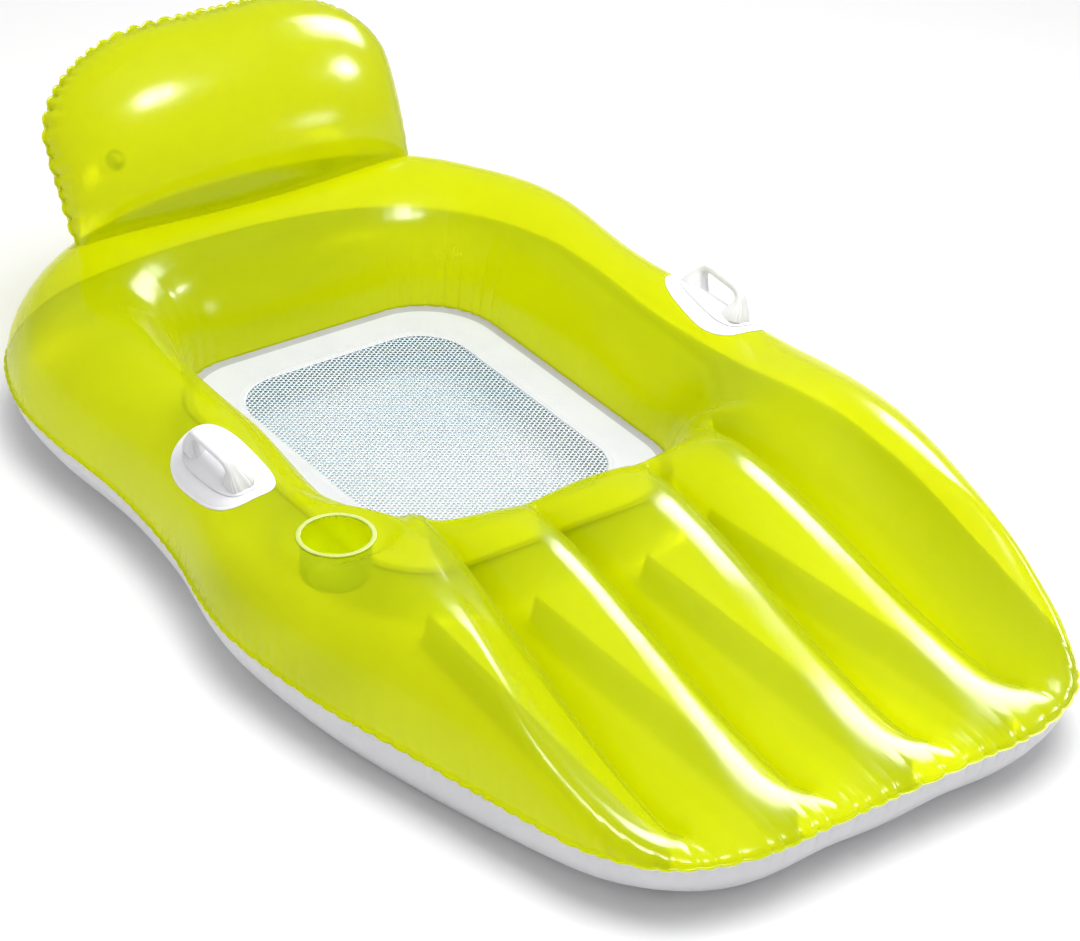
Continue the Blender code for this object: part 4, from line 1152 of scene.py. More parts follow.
        # Flat sizes and areas are the CAD solid's: paths along it, and volume over thickness.
        upper = new_piece("body_top_film", top, faces[keep], LIME_FILM.make())
        stand_for(upper, "lime_film", "top_sheet")
        bottom, faces = self.whole_sheet(Sheet.BOTTOM)
        lower = new_piece("body_bottom_film", bottom, faces, WHITE_FILM.make())
        stand_for(lower, "white_film", "bottom_sheet")
        return tree

    def open_holes(self, points: np.ndarray, faces: np.ndarray) -> np.ndarray:
        """Find the faces that stay where the cup and the valve go through the top sheet.

        Args:
            points: The sheet's points.
            faces: Its faces.

        Returns:
            Whether each face stays.
        """
        middle = points[faces].mean(axis=1)
        keep = np.ones(len(faces), bool)
        for (place, normal), radius in ((ring_plane("cup_rim"), self.cup_hole),
                                        (flange_plane("body"), self.valve_hole)):
            off, across = from_axis(middle, place, normal)
            keep &= ~((across < radius) & (np.abs(off) < radius))
        return keep


def ring_plane(node: str) -> tuple[np.ndarray, np.ndarray]:
    """Middle and upward normal of the underside of a flat CAD ring.

    Args:
        node: The ring's CAD node.

    Returns:
        The middle and the normal.
    """
    co = np.array([v.co for v in frame["nodes"][node].data.vertices], float)
    low, high = co.min(axis=0), co.max(axis=0)
    fit, *_ = np.linalg.lstsq(np.c_[co[:, :2], np.ones(len(co))], co[:, 2], rcond=None)
    normal = unit(np.array([-fit[0], -fit[1], 1.0]))
    place = np.array([*(low + high)[:2] / 2, 0.0])
    place[2] = fit[0] * place[0] + fit[1] * place[1] + fit[2]
    under = ((co - place) @ normal).min()
    return place + normal * under * RING_SEAT_SHARE, normal


def flange_plane(label: str) -> tuple[np.ndarray, np.ndarray]:
    """Middle and normal of the film under a valve's flange.

    Args:
        label: Which valve, body or backrest.

    Returns:
        The middle and the normal.
    """
    axis = next(j["axis"] for j in frame["joints"] if j["name"] == f"{label}_stem_slide")
    normal = unit(np.array(axis, float))
    co = np.array([v.co for v in frame["nodes"][f"{label}_valve_flange"].data.vertices], float)
    off = co @ normal
    if abs(off.max() - np.median(off)) < abs(off.min() - np.median(off)):
        normal, off = -normal, -off
    middle = (co.min(axis=0) + co.max(axis=0)) / 2
    return middle - normal * (middle @ normal - off.min() + InflatedBody.gap), normal


@dataclass
class LegWebs:
    """Four internal strips that tie the sheets together, with a weld band along each edge."""

    body: InflatedBody
    band: float = 0.006
    gap: float = 0.0006
    wave: float = 0.0015
    droop: float = 0.0012
    rows: int = 9
    waves: float = 7.0
    outer_length: float = 0.564
    inner_length: float = 0.54

    def build(self) -> None:
        """Make the webs."""
        material = WEB_FILM.make()
        first, last = self.body.web_span()
        for number, ray in enumerate(self.body.grid["webs"], 1):
            upper = self.body.points[Sheet.TOP][ray, first:last + 1] - (0.0, 0.0, self.gap)
            lower = self.body.points[Sheet.BOTTOM][ray, first:last + 1] + (0.0, 0.0, self.gap)
            run = unit(upper[-1, :2] - upper[0, :2])
            side = np.array([-run[1], run[0], 0.0]) * self.band
            share = np.linspace(0.0, 1.0, self.rows)[:, None, None]
            wall = lower + (upper - lower) * share
            wave = np.sin(np.linspace(0.0, self.waves * math.pi, last - first + 1)) * self.wave
            wall += (side / self.band) * (np.sin(share * math.pi) * wave[None, :, None])
            droop = np.array([0.0, 0.0, self.droop])
            columns = np.concatenate([[lower + side + droop], wall, [upper + side - droop]])
            grid = np.transpose(columns, (1, 0, 2))
            piece = new_piece(f"leg_web_{number}", grid.reshape(-1, 3),
                              grid_faces(grid.shape[0], grid.shape[1], False), material)
            stand_for(piece, "web_film", f"channel_web_{number}")


@dataclass
class SeatPanel:
    """White bands round the seat and the net between them."""

    body: InflatedBody
    border: float = 0.074
    net_corner: float = 0.08
    hem: float = 0.008
    pitch: float = 0.0076
    row_share: float = 0.8
    hole_share: float = 0.60
    yarn: float = 0.0009
    eye_stretch: float = 1.08
    knot_rise: float = 0.00025
    sag: float = 0.0022
    band_area: float = 0.141
    overlap: float = 0.0035
    band_shares: tuple = (0.0, 0.06, 0.13, 0.185, 0.20, 0.23, 0.35, 0.5, 0.7, 0.84, 0.88, 0.9, 0.92,
                          0.96, 1.0)
    band_wave: float = 0.0016
    wave_orders: tuple[int, ...] = (5, 9, 14, 23)
    wave_end: float = 0.95
    seeds: tuple[int, int] = (32, 31)
    loop_samples: int = 4000
    loop_points: int = 161
    eye_sides: int = 12
    merge_parts: int = 16
    weld_end: float = 0.185
    weld_rise: float = 0.0030
    hem_ridge: tuple[float, float, float] = (0.86, 0.91, 0.00035)
    lower_lift: float = 0.0007
    net_lift: float = 0.0016
    upper_lift: float = 0.0026

    def settle(self, points: np.ndarray) -> np.ndarray:
        """Let flat points sag a little towards the middle of the seat.

        Args:
            points: The points, which are moved in place.

        Returns:
            The same points.
        """
        half, middle = self.body.seat_width / 2, self.middle_y
        reach = (self.body.seat_rear - self.body.seat_front) / 2
        x, y = points[:, 0] / half, (points[:, 1] - middle) / reach
        points[:, 2] -= self.sag * np.clip(1 - x * x, 0, 1) * np.clip(1 - y * y, 0, 1)
        return points

    @property
    def middle_y(self) -> float:
        """Y of the seat's middle."""
        return self.body.shift + (self.body.seat_rear + self.body.seat_front) / 2

    def loop(self, inset: float, radius: float, steps: int = 40) -> np.ndarray:
        """Closed loop inside the seat seam.

        Args:
            inset: Distance in from the seam.
            radius: Its corner radius.
            steps: Points on each corner.

        Returns:
            The points.
        """
        half = rounded_half(self.body.seat_width / 2 - inset, self.body.seat_rear - inset,
                            self.body.seat_front + inset, radius, steps)
        outline = HalfOutline(half, self.loop_samples)
        right = outline.at(np.linspace(0.0, 1.0, self.loop_points))
        return np.vstack([right, right[-2:0:-1] * (-1.0, 1.0)]) + (0.0, self.body.shift)

    def band(self, name: str, height: float, node: str, upper: bool) -> bpy.types.Object:
        """Make one white band.

        Args:
            name: The piece's name.
            height: Its height.
            node: The CAD node it replaces.
            upper: Whether it lies over the net.

        Returns:
            The piece.
        """
        shares = self.band_shares
        outer = self.loop(-self.overlap, self.body.seat_corner)
        inner = self.loop(self.border, self.net_corner)
        draw = np.random.default_rng(self.seeds[upper])
        count = len(outer)
        wave, turn = np.zeros(count), turns(count)
        for order in self.wave_orders:
            wave += draw.uniform(0.3, 1.0) / order * np.sin(order * turn + draw.uniform(0, 6.0))
        rows = []
        start, end, ridge = self.hem_ridge
        for share in shares:
            flat = outer + (inner - outer) * share
            full = math.sin(math.pi * min(share, self.wave_end))
            z = height + wave * self.band_wave * full * (1 if upper else 0.5)
            if upper:
                z = z + (ridge if start < share < end else 0.0)
                z = z + self.weld_rise * (1.0 - min(share / self.weld_end, 1.0))
            rows.append(np.c_[flat, z])
        grid = np.stack(rows, axis=1)
        points = self.settle(grid.reshape(-1, 3))
        piece = new_piece(name, points, grid_faces(count, len(shares), True), WHITE_BAND.make())
        # The upper band's strip next to the wall takes the dark grey weld finish: painted shade at
        # the wall's foot.
        piece.data.materials.append(BAND_WELD_SHADE.make())
        weld = np.tile([int(upper and share < self.weld_end) for share in shares[:-1]], count)
        piece.data.polygons.foreach_set("material_index", weld)
        solid = piece.modifiers.new("band_film", "SOLIDIFY")
        solid.thickness = self.body.film
        stand_for(piece, "white_border", node)
        return piece

    def net(self, height: float) -> bpy.types.Object:
        """Make the knitted net as a sheet of six-sided eyes.

        Args:
            height: Height of its upper face.

        Returns:
            The piece.
        """
        edge = self.border - self.hem
        reach = self.body.seat_width / 2 - edge
        half = (self.body.seat_rear - self.body.seat_front) / 2 - edge
        step = self.pitch * self.row_share
        rows = np.arange(-int(reach / step), int(reach / step) + 1)
        columns = np.arange(-int(half / self.pitch) - 1, int(half / self.pitch) + 2)
        r, c = (a.ravel() for a in np.meshgrid(rows, columns, indexing="ij"))
        x, y = (c + 0.5 * (r % 2)) * self.pitch, r * step
        over_x = np.abs(x) - (half - self.net_corner)
        over_y = np.abs(y) - (reach - self.net_corner)
        inside = (np.abs(x) < half) & (np.abs(y) < reach)
        inside &= (np.minimum(over_x, over_y) < 0) | (np.hypot(over_x, over_y) < self.net_corner)
        x, y = x[inside], y[inside]
        turn = math.pi / 6 + np.arange(6) * math.pi / 3  # the six knots round an eye
        reach_x, reach_y = self.pitch / math.sqrt(3.0), step * 2 / 3
        knots = np.stack([x[:, None] + reach_x * np.cos(turn),
                          y[:, None] + reach_y * np.sin(turn)], axis=-1)
        cells = np.round(knots.reshape(-1, 2) / (self.pitch / self.merge_parts)).astype(int)
        keys, number = np.unique(cells, axis=0, return_inverse=True)
        corners = np.zeros((len(keys), 2))
        corners[number.ravel()] = knots.reshape(-1, 2)
        sides = self.eye_sides
        eye_turn = np.arange(sides) * math.pi / (sides // 2)
        hole_x, hole_y = self.hole_share * reach_x, self.hole_share * reach_y * self.eye_stretch
        eyes = np.stack([x[:, None] + hole_x * np.cos(eye_turn),
                         y[:, None] + hole_y * np.sin(eye_turn)], axis=-1)
        number = number.reshape(-1, 6)
        first = len(corners) + np.arange(len(x)) * sides
        faces = []
        for k in range(6):
            a, b = number[:, k], number[:, (k + 1) % 6]
            e = [first + (2 * k + 1 + j) % sides for j in range(3)]
            faces.append(np.stack([e[1], e[2], b, a], axis=1))
            faces.append(np.stack([e[0], e[1], a, a], axis=1))
        quads = np.vstack(faces[0::2])
        tris = np.vstack(faces[1::2])[:, :3]
        flat = np.vstack([corners, eyes.reshape(-1, 2)])[:, ::-1] + (0.0, self.middle_y)
        z = np.full(len(flat), height)
        z[:len(corners)] += self.knot_rise
        points = self.settle(np.c_[flat, z])
        piece = new_piece("seat_net_mesh", points, quads.tolist() + tris.tolist(), WHITE_NET.make())
        # The rim faces of the yarn, which are the walls of the eyes, take the dark blue finish:
        # painted shade in the net's holes.
        piece.data.materials.append(NET_EDGE_SHADE.make())
        solid = piece.modifiers.new("yarn", "SOLIDIFY")
        solid.thickness = self.yarn
        solid.material_offset_rim = 1
        stand_for(piece, "white_net", "seat_net")
        return piece

    def build(self) -> None:
        """Make the bands and the net."""
        base = self.body.seat_height
        lower = self.band("seat_band_lower", base + self.lower_lift, "seat_border_lower", False)
        net = self.net(base + self.net_lift)
        upper = self.band("seat_band_upper", base + self.upper_lift, "seat_border_upper", True)


@dataclass
class CupHolder:
    """Moulded cup that hangs in the body, with the ring that welds its mouth to the film."""

    bore: float = 0.092
    bend: float = 0.009
    ring_width: float = 0.0062
    ring_thickness: float = 0.0028
    ring_sink: float = 0.0012
    sides: int = 120
    around: int = 20
    floor_shares: tuple = (0.06, 0.4, 0.62, 0.66, 0.7, 0.84)
    step_share: float = 0.64
    floor_step: float = 0.0012
    wall: float = 0.0005
    bend_start: float = 0.15
    bend_steps: int = 7
    wall_steps: int = 10
    belly: float = 0.0004
    lip: float = 0.0016
    lip_rings: tuple = ((0.0007, 0.0006), (0.0016, 0.0005))
    ring_lift: float = 0.0003
    ring_square: tuple[float, float] = (0.6, 0.7)

    def build(self) -> None:
        """Make the cup and its ring."""
        place, normal = ring_plane("cup_rim")
        low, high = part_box("cup_holder")
        centre = (low + high) / 2
        radius, floor = self.bore / 2 + self.wall, low.z + self.wall
        circle = circle_of(self.sides)

        def mouth(reach: float) -> np.ndarray:
            """Height of the welded mouth at a distance from the cup's axis."""
            x, y = centre.x + circle[:, 0] * reach, centre.y + circle[:, 1] * reach
            return place[2] - ((x - place[0]) * normal[0] + (y - place[1]) * normal[1]) / normal[2]

        top = mouth(radius) + self.lip
        rings = []
        for share in self.floor_shares:
            lift = self.floor_step if share < self.step_share else 0.0
            rings.append(np.c_[circle * radius * share, np.full(self.sides, floor + lift)])
        bend = self.bend
        for angle in np.linspace(self.bend_start, math.pi / 2, self.bend_steps):
            reach = radius - bend + bend * math.sin(angle)
            height = floor + bend - bend * math.cos(angle)
            rings.append(np.c_[circle * reach, np.full(self.sides, height)])
        for share in np.linspace(1.0 / self.wall_steps, 1.0, self.wall_steps):
            draft = radius + self.belly * math.sin(share * math.pi)
            rings.append(np.c_[circle * draft, floor + bend + (top - floor - bend) * share])
        for reach, rise in self.lip_rings:
            rings.append(np.c_[circle * (radius + reach), top + rise])
        points = (np.stack(rings, axis=1) + (centre.x, centre.y, 0.0)).reshape(-1, 3)
        count = len(rings)
        faces = grid_faces(self.sides, count, True).tolist()
        faces.append([k * count for k in range(self.sides)])
        # The cup wall's two colours are painted shade outside and painted light inside.
        cup = new_piece("cup_wall", points, [f[::-1] for f in faces], CUP_FILM.make())
        stand_for(cup, "lime_cup", "cup_holder")
        self.build_ring(mouth, centre, radius)

    def build_ring(self, mouth: Callable[[float], np.ndarray], centre: Vector,
                   radius: float) -> None:
        """Make the welded ring.

        Args:
            mouth: Height of the film at a distance from the cup's axis.
            centre: The cup's middle.
            radius: The cup's radius.
        """
        circle, around = circle_of(self.sides), self.around
        width, thick = self.ring_width / 2, self.ring_thickness / 2
        rows = []
        for a in np.linspace(0.0, 2 * math.pi, around, endpoint=False):
            c, s = math.cos(a), math.sin(a)
            c, s = (math.copysign(abs(v) ** power, v) for v, power in zip((c, s), self.ring_square))
            across = radius - self.ring_sink + width + width * c
            up = self.ring_lift + thick + thick * s
            rows.append(np.c_[circle * across, mouth(across) + up])
        grid = np.stack(rows, axis=1) + (centre.x, centre.y, 0.0)
        faces = grid_faces(self.sides, around, True)
        starts = [(k * around, (k + 1) % self.sides * around) for k in range(self.sides)]
        wrap = [[a + around - 1, a, b, b + around - 1] for a, b in starts]
        ring = new_piece("cup_ring", grid.reshape(-1, 3), faces.tolist() + wrap, CUP_RING.make())
        stand_for(ring, "clear_vinyl", "cup_rim")


@dataclass
class CarryHandle:
    """Oval patch welded to the ring tube, with a moulded plate and grip."""

    side: Side
    film: BVHTree
    across: float = 0.418
    along: float = 0.0595
    patch: tuple[float, float, float] = (0.104, 0.172, 0.0012)
    plate: tuple[float, float, float] = (0.060, 0.142, 0.0030)
    span: float = 0.108
    height: float = 0.046
    width: float = 0.017
    thickness: float = 0.0115
    square: float = 2.9
    oval_sides: int = 88
    bar_sides: int = 72
    ribs: int = 18
    foot_sink: float = 0.0022
    bar_steps: int = 8
    arch_shares: tuple = ((0.93, 0.35), (0.80, 0.78), (0.56, 0.985))
    bar_square: tuple[float, float] = (0.55, 0.7)
    flare_share: float = 0.9
    flare_width: tuple[float, float] = (1.25, 1.1)
    flare_thickness: tuple[float, float] = (2.4, 1.05)
    flare_inward: float = 0.55
    rib_depth: float = 0.035
    foot_low: float = -0.0012
    probe: float = 0.04
    under_shares: tuple = (0.05, 0.35, 0.7, 0.985)
    patch_lift: float = 0.0003
    plate_lift: float = 0.0018
    patch_rim: tuple = ((0.994, 0.15), (1.0, 0.5), (0.994, 0.85), (0.98, 1.0), (0.955, 1.02),
                        (0.945, 0.8), (0.935, 0.8), (0.925, 1.02), (0.8, 1.0), (0.5, 1.0),
                        (0.2, 1.0), (0.05, 1.0))
    plate_rise: tuple = ((1.0, 0.1), (0.995, 0.3), (0.975, 0.5), (0.94, 0.72), (0.88, 0.98),
                         (0.8, 1.25), (0.7, 1.5), (0.58, 1.7), (0.4, 1.85), (0.2, 1.9), (0.05, 1.9))

    def __post_init__(self) -> None:
        """Stand the handle's frame on the film."""
        start = Vector((self.side.value * self.across, self.along, 1.0))
        place, normal, *_ = self.film.ray_cast(start, DOWN)
        self.frame = standing_frame(place, normal if normal.z > 0 else -normal)

    def drape(self, flat: np.ndarray, lift: np.ndarray) -> np.ndarray:
        """Lay points of the handle's plane on the film.

        Args:
            flat: Places in the handle's plane.
            lift: Heights over the film.

        Returns:
            The points.
        """
        down = self.frame.to_3x3() @ DOWN
        made = []
        for (x, y), z in zip(flat, lift):
            start = self.frame @ Vector((x, y, self.probe))
            hit, *_ = self.film.ray_cast(start, down)
            made.append(hit - down * z if hit else self.frame @ Vector((x, y, z)))
        return np.array([tuple(p) for p in made])

    def disc(self, size: tuple[float, float, float], low: float,
             profile: Sequence[tuple[float, float]]) -> tuple[np.ndarray, list]:
        """Make a draped oval slab with a shaped upper face.

        Args:
            size: Its width, length and thickness.
            low: Height of its underside over the film.
            profile: Share of the radius and share of the thickness, from the rim to the middle.

        Returns:
            Points and faces.
        """
        c, s = circle_of(self.oval_sides).T
        oval = np.c_[np.sign(c) * np.abs(c) ** (2 / self.square) * size[0] / 2,
                     np.sign(s) * np.abs(s) ** (2 / self.square) * size[1] / 2]
        under = [(share, 0.0) for share in self.under_shares]
        rings = [self.drape(oval * share, np.full(len(oval), low + size[2] * up))
                 for share, up in (*under, *profile)]
        grid = np.stack(rings, axis=1)
        count = len(rings)
        faces = grid_faces(len(oval), count, True).tolist()
        faces.append([k * count for k in range(len(oval))])
        faces.append([k * count + count - 1 for k in range(len(oval))][::-1])
        return grid.reshape(-1, 3), faces

    def arch(self) -> tuple[np.ndarray, list]:
        """Make the grip: a flat-topped bar on two wide flared feet.

        Returns:
            Points and faces.
        """
        around, top = self.bar_sides, self.height - self.thickness / 2
        half, sink = self.span / 2, -self.foot_sink
        rising = [(-half * x, top * z) for x, z in self.arch_shares]
        falling = [(half * x, top * z) for x, z in reversed(self.arch_shares)]
        knots = np.array([(-half, sink), *rising, (0.0, top), *falling, (half, sink)])
        ends = knots[:1] * 2 - knots[1:2], knots[-1:] * 2 - knots[-2:-1]
        path = curve_through(np.vstack([ends[0], knots, ends[1]]), self.bar_steps)
        stations = len(path)
        run = unit(np.gradient(path, axis=0))
        out = np.c_[np.zeros(stations), -run[:, 1], run[:, 0]]
        low = 1.0 - ease(path[:, 1] / (top * self.flare_share))
        wide, thick = (size * (1.0 + more * low ** power) / 2
                       for size, (more, power) in ((self.width, self.flare_width),
                                                   (self.thickness, self.flare_thickness)))
        inward = np.c_[np.zeros(stations), -np.sign(path[:, 0]), np.zeros(stations)]
        lean = (low * self.thickness * self.flare_inward)[:, None]
        middle = np.c_[np.zeros(stations), path] + inward * lean
        a = turns(around)
        ca, sa = (np.sign(v) * np.abs(v) ** power
                  for v, power in zip((np.cos(a), np.sin(a)), self.bar_square))
        ribs = 1.0 + self.rib_depth * ease(low * 2.0)[:, None] * np.cos(self.ribs * a)[None]
        points = middle[:, None] + out[:, None] * (thick[:, None] * ribs * sa[None])[..., None]
        points[..., 0] += wide[:, None] * ribs * ca[None]
        points[..., 2] = np.maximum(points[..., 2], self.foot_low)
        faces = grid_faces(stations, around, False).tolist()
        starts = [s * around for s in range(stations)]
        faces += [[a + around - 1, a, b, b + around - 1] for a, b in zip(starts[:-1], starts[1:])]
        faces += [list(range(around))[::-1], [starts[-1] + k for k in range(around)]]
        world = np.array([tuple(self.frame @ Vector(p)) for p in points.reshape(-1, 3)])
        return world, faces

    def build(self) -> None:
        """Make the patch and the grip."""
        label = self.side.name.lower()
        material = WHITE_MOULD.make()
        points, faces = self.disc(self.patch, self.patch_lift, self.patch_rim)
        patch = new_piece(f"handle_patch_oval_{label}", points, faces, material)
        stand_for(patch, "white_vinyl", f"handle_patch_{label}")
        points, faces = self.disc(self.plate, self.plate_lift, self.plate_rise)
        bar, bar_faces = self.arch()
        faces += [[i + len(points) for i in f] for f in bar_faces]
        grip = new_piece(f"handle_grip_arch_{label}", np.vstack([points, bar]), faces, material)
        stand_for(grip, "white_vinyl", f"handle_grip_{label}")


@dataclass
class Backrest:
    """Two seamed panels that stand on a lens-shaped floor welded to the rear tube."""

    body: InflatedBody
    film: BVHTree
    half_base: float = 0.288
    half_width: float = 0.292
    top_half: float = 0.08
    height: float = 0.296
    widest: float = 0.54
    along_share: float = 0.8225
    base_height: float = 0.215
    lean: float = math.radians(30.0)
    base_depth: float = 0.036
    bulge: float = 0.72
    margin: float = 0.004
    floor_margin: float = 0.006
    columns: int = 176
    rows: int = 88
    weld_lift: float = 0.0008
    land_fade: float = 0.03
    steps: int = 2500
    cut_rows: int = 40
    gathers: Gathers = Gathers(0.0085, 0.0030, 0.0035, 7)
    pitch: float = 0.0225
    gather_reach: float = 0.013
    far_share: float = 0.35
    near_more: float = 0.65
    far_start: float = 0.72
    far_run: float = 0.25
    base_run: float = 0.05
    turn_out: float = 0.006
    side_samples: int = 400
    top_samples: int = 120
    seam_samples: int = 1400
    middle_share: float = 0.4
    valve_reach: float = 0.05
    hole_reach: float = 0.02
    lens_columns: int = 97
    lens_rows: int = 15
    floor_lift: float = 0.0007
    front_cut: tuple[float, float, float] = (0.671, 0.358, 0.204)
    rear_cut: tuple[float, float, float] = (0.668, 0.311, 0.185)

    def __post_init__(self) -> None:
        """Stand the seam plane behind the seat."""
        up = Vector((0.0, math.sin(self.lean), math.cos(self.lean)))
        front = Vector((0.0, -math.cos(self.lean), math.sin(self.lean)))
        self.plane = Matrix((Vector((1.0, 0.0, 0.0)), up, front)).transposed().to_4x4()
        y = self.along_share * self.body.length / 2 + self.body.shift
        self.plane.translation = (0.0, y, self.base_height)

    def half(self, share: np.ndarray) -> np.ndarray:
        """Half width of the seam.

        Args:
            share: Shares of the height.

        Returns:
            Half the width at each.
        """
        low = self.half_base + (self.half_width - self.half_base) * np.sin(
            np.clip(share / self.widest, 0.0, 1.0) * math.pi / 2)
        over = np.clip((share - self.widest) / (1.0 - self.widest), 0.0, 1.0)
        high = self.top_half + (self.half_width - self.top_half) * np.sqrt(1.0 - over ** 2)
        return np.where(share < self.widest, low, high)

    def panel(self, front: bool) -> np.ndarray:
        """Blow up one panel, held at its seam.

        Args:
            front: Whether it is the front panel.

        Returns:
            Its points in the seam plane's frame, columns by rows.
        """
        across = -np.cos(np.linspace(0.0, math.pi, self.columns + 1))
        up = np.sin(np.linspace(0.0, math.pi / 2, self.rows + 1))
        flat = np.zeros((self.columns + 1, self.rows + 1, 2))
        flat[..., 0] = across[:, None] * self.half(up)[None]
        flat[..., 1] = up[None] * self.height
        held = np.zeros(flat.shape[:2], bool)
        held[[0, -1]] = True
        held[:, [0, -1]] = True
        start = np.zeros(flat.shape[:2])
        depth = self.base_depth * (1.0 - across ** 2) / self.bulge
        start[:, 0] = depth ** 2 / 2
        swell = Membrane(flat, held, False).settle(start, 1.0, self.steps)
        lift = np.sqrt(2.0 * np.maximum(swell, 0.0)) * self.bulge + self.body.gap / 2
        sign = 1.0 if front else -1.0
        return np.concatenate([flat, lift[..., None] * sign], axis=2)

    def seam_line(self) -> tuple[np.ndarray, np.ndarray]:
        """Walk the seam up the left side, over the top and down again.

        Returns:
            Places on the seam and the outward normals there.
        """
        up = np.sin(np.linspace(0.0, math.pi / 2, self.side_samples))
        left = np.c_[-self.half(up), up * self.height]
        across = np.linspace(-self.top_half, self.top_half, self.top_samples)[1:-1]
        top = np.c_[across, np.full(len(across), self.height)]
        line = np.vstack([left, top, left[::-1] * (-1.0, 1.0)])
        stations = walked(line)
        line = read_line(line, stations, np.linspace(0.0, stations[-1], self.seam_samples))
        run = unit(np.gradient(line, axis=0))
        return line, np.c_[-run[:, 1], run[:, 0]]

    def gather(self, panel: np.ndarray, front: bool) -> np.ndarray:
        """Scallop the seam and fold the panel into it.

        Args:
            panel: The panel's points, columns by rows.
            front: Whether it is the front panel.

        Returns:
            The moved points.
        """
        line, out = self.seam_line()
        stations = walked(line)
        end = stations[-1]

        def strength(s: np.ndarray) -> np.ndarray:
            """Share of the depth, less on the far side and none at the base.

            Args:
                s: Distances along the seam.

            Returns:
                The share at each.
            """
            near = ease((end * self.far_start - s) / self.far_run)
            full = self.far_share + self.near_more * near
            return full * ease(s / self.base_run) * ease((end - s) / self.base_run)

        depth, reach = self.gathers.along(stations, lambda s: self.pitch, strength)
        tree = KDTree(len(line))
        for k, p in enumerate(line):
            tree.insert((p[0], p[1], 0.0), k)
        tree.balance()
        flat = panel[..., :2].reshape(-1, 2)
        found = [tree.find((p[0], p[1], 0.0))[1] for p in flat]
        near = np.array(found).reshape(panel.shape[:2])
        along = np.gradient(panel, axis=0)
        rise = np.gradient(panel, axis=1)
        normal = unit(np.cross(along, rise)) * (1.0 if front else -1.0)
        normal[..., 2] = np.abs(normal[..., 2]) * (1.0 if front else -1.0)
        away = np.linalg.norm(panel[..., :2] - line[near], axis=-1)
        surface = np.hypot(away, panel[..., 2])
        fade = np.exp(-(surface / (self.gather_reach * reach[near])) ** 1.1)
        share = ease(1.0 - surface / self.turn_out)[..., None]
        flat_out = np.concatenate([out[near], np.zeros((*near.shape, 1))], axis=-1)
        way = unit(normal * (1.0 - share) + flat_out * share)
        return panel + way * (depth[near] * fade)[..., None]

    def drop_to_tube(self, points: np.ndarray) -> np.ndarray:
        """End each column of a panel on the rear tube.

        Args:
            points: The panel in the row frame, columns by rows.

        Returns:
            The same panel with its columns cut at the film.
        """
        made = points.copy()
        for column in range(points.shape[0]):
            line = points[column]
            over = np.array([self.above(p) for p in line[:self.cut_rows]])
            under = np.nonzero(over < self.weld_lift)[0]
            if not len(under):
                continue
            k = int(under.max())
            t = 0.0
            if k + 1 < len(over):
                t = (self.weld_lift - over[k]) / max(over[k + 1] - over[k], SMALL)
            start, last = k + min(max(t, 0.0), 1.0), len(line) - 1
            at = start + (last - start) * (np.arange(len(line)) / last)
            made[column] = read_line(line, np.arange(len(line)), at)
        return made

    def above(self, point: np.ndarray) -> float:
        """How far a point lies above the film."""
        hit, *_ = self.film.ray_cast(Vector((point[0], point[1], 1.0)), DOWN)
        return point[2] - hit.z if hit else 1.0

    def build(self) -> None:
        """Make the two panels and the floor."""
        place = np.array(self.plane.to_3x3())
        origin = np.array(self.plane.translation)
        material = BACKREST_FILM.make()
        for name, front in (("backrest_front", True), ("backrest_rear", False)):
            panel = self.gather(self.panel(front), front)
            world = self.drop_to_tube(panel @ place.T + origin)
            rim = [(0, r) for r in range(self.rows)]
            rim += [(c, self.rows) for c in range(self.columns + 1)]
            rim += [(self.columns, r) for r in reversed(range(self.rows))]
            edge = np.array([world[c, r] for c, r in rim])
            run = unit(np.gradient(edge, axis=0))
            away = unit(np.cross(run, place[:, 2]))
            away *= np.sign((away @ place[:, 1] + np.abs(away @ place[:, 0]) + SMALL))[:, None]
            middle = origin + place[:, 1] * self.height * self.middle_share
            away *= np.where(((edge - middle) * away).sum(-1) < 0, -1.0, 1.0)[:, None]
            margin = edge + away * self.margin
            rows = self.rows + 1
            first = (self.columns + 1) * rows
            faces = grid_faces(self.columns + 1, rows, False)[:, ::-1]
            numbers = [c * rows + r for c, r in rim]
            strip = [[a, b, first + k + 1, first + k]
                     for k, (a, b) in enumerate(zip(numbers[:-1], numbers[1:]))]
            faces = faces.tolist() + strip
            points = np.vstack([world.reshape(-1, 3), margin])
            if not front:
                points, faces = self.open_valve(points, [f[::-1] for f in faces])
            piece = new_piece(f"{name}_film", points, faces, material)
            stand_for(piece, "lime_film", name)
        self.build_floor(material)

    def open_valve(self, points: np.ndarray, faces: list) -> tuple[np.ndarray, list]:
        """Seat the rear panel under its valve and cut the hole.

        Args:
            points: The panel's points.
            faces: Its faces.

        Returns:
            The moved points and the faces that stay.
        """
        place, normal = flange_plane("backrest")
        off, across = from_axis(points, place, normal)
        pull = ease((self.body.valve_land + self.land_fade - across) / self.land_fade)
        pull = np.where(np.abs(off) < self.valve_reach, pull, 0.0)
        points = points - (off * pull)[:, None] * normal
        middle = np.array([points[f].mean(axis=0) for f in faces])
        off, across = from_axis(middle, place, normal)
        keep = (across > self.body.valve_hole) | (np.abs(off) > self.hole_reach)
        return points, [f for f, stays in zip(faces, keep) if stays]

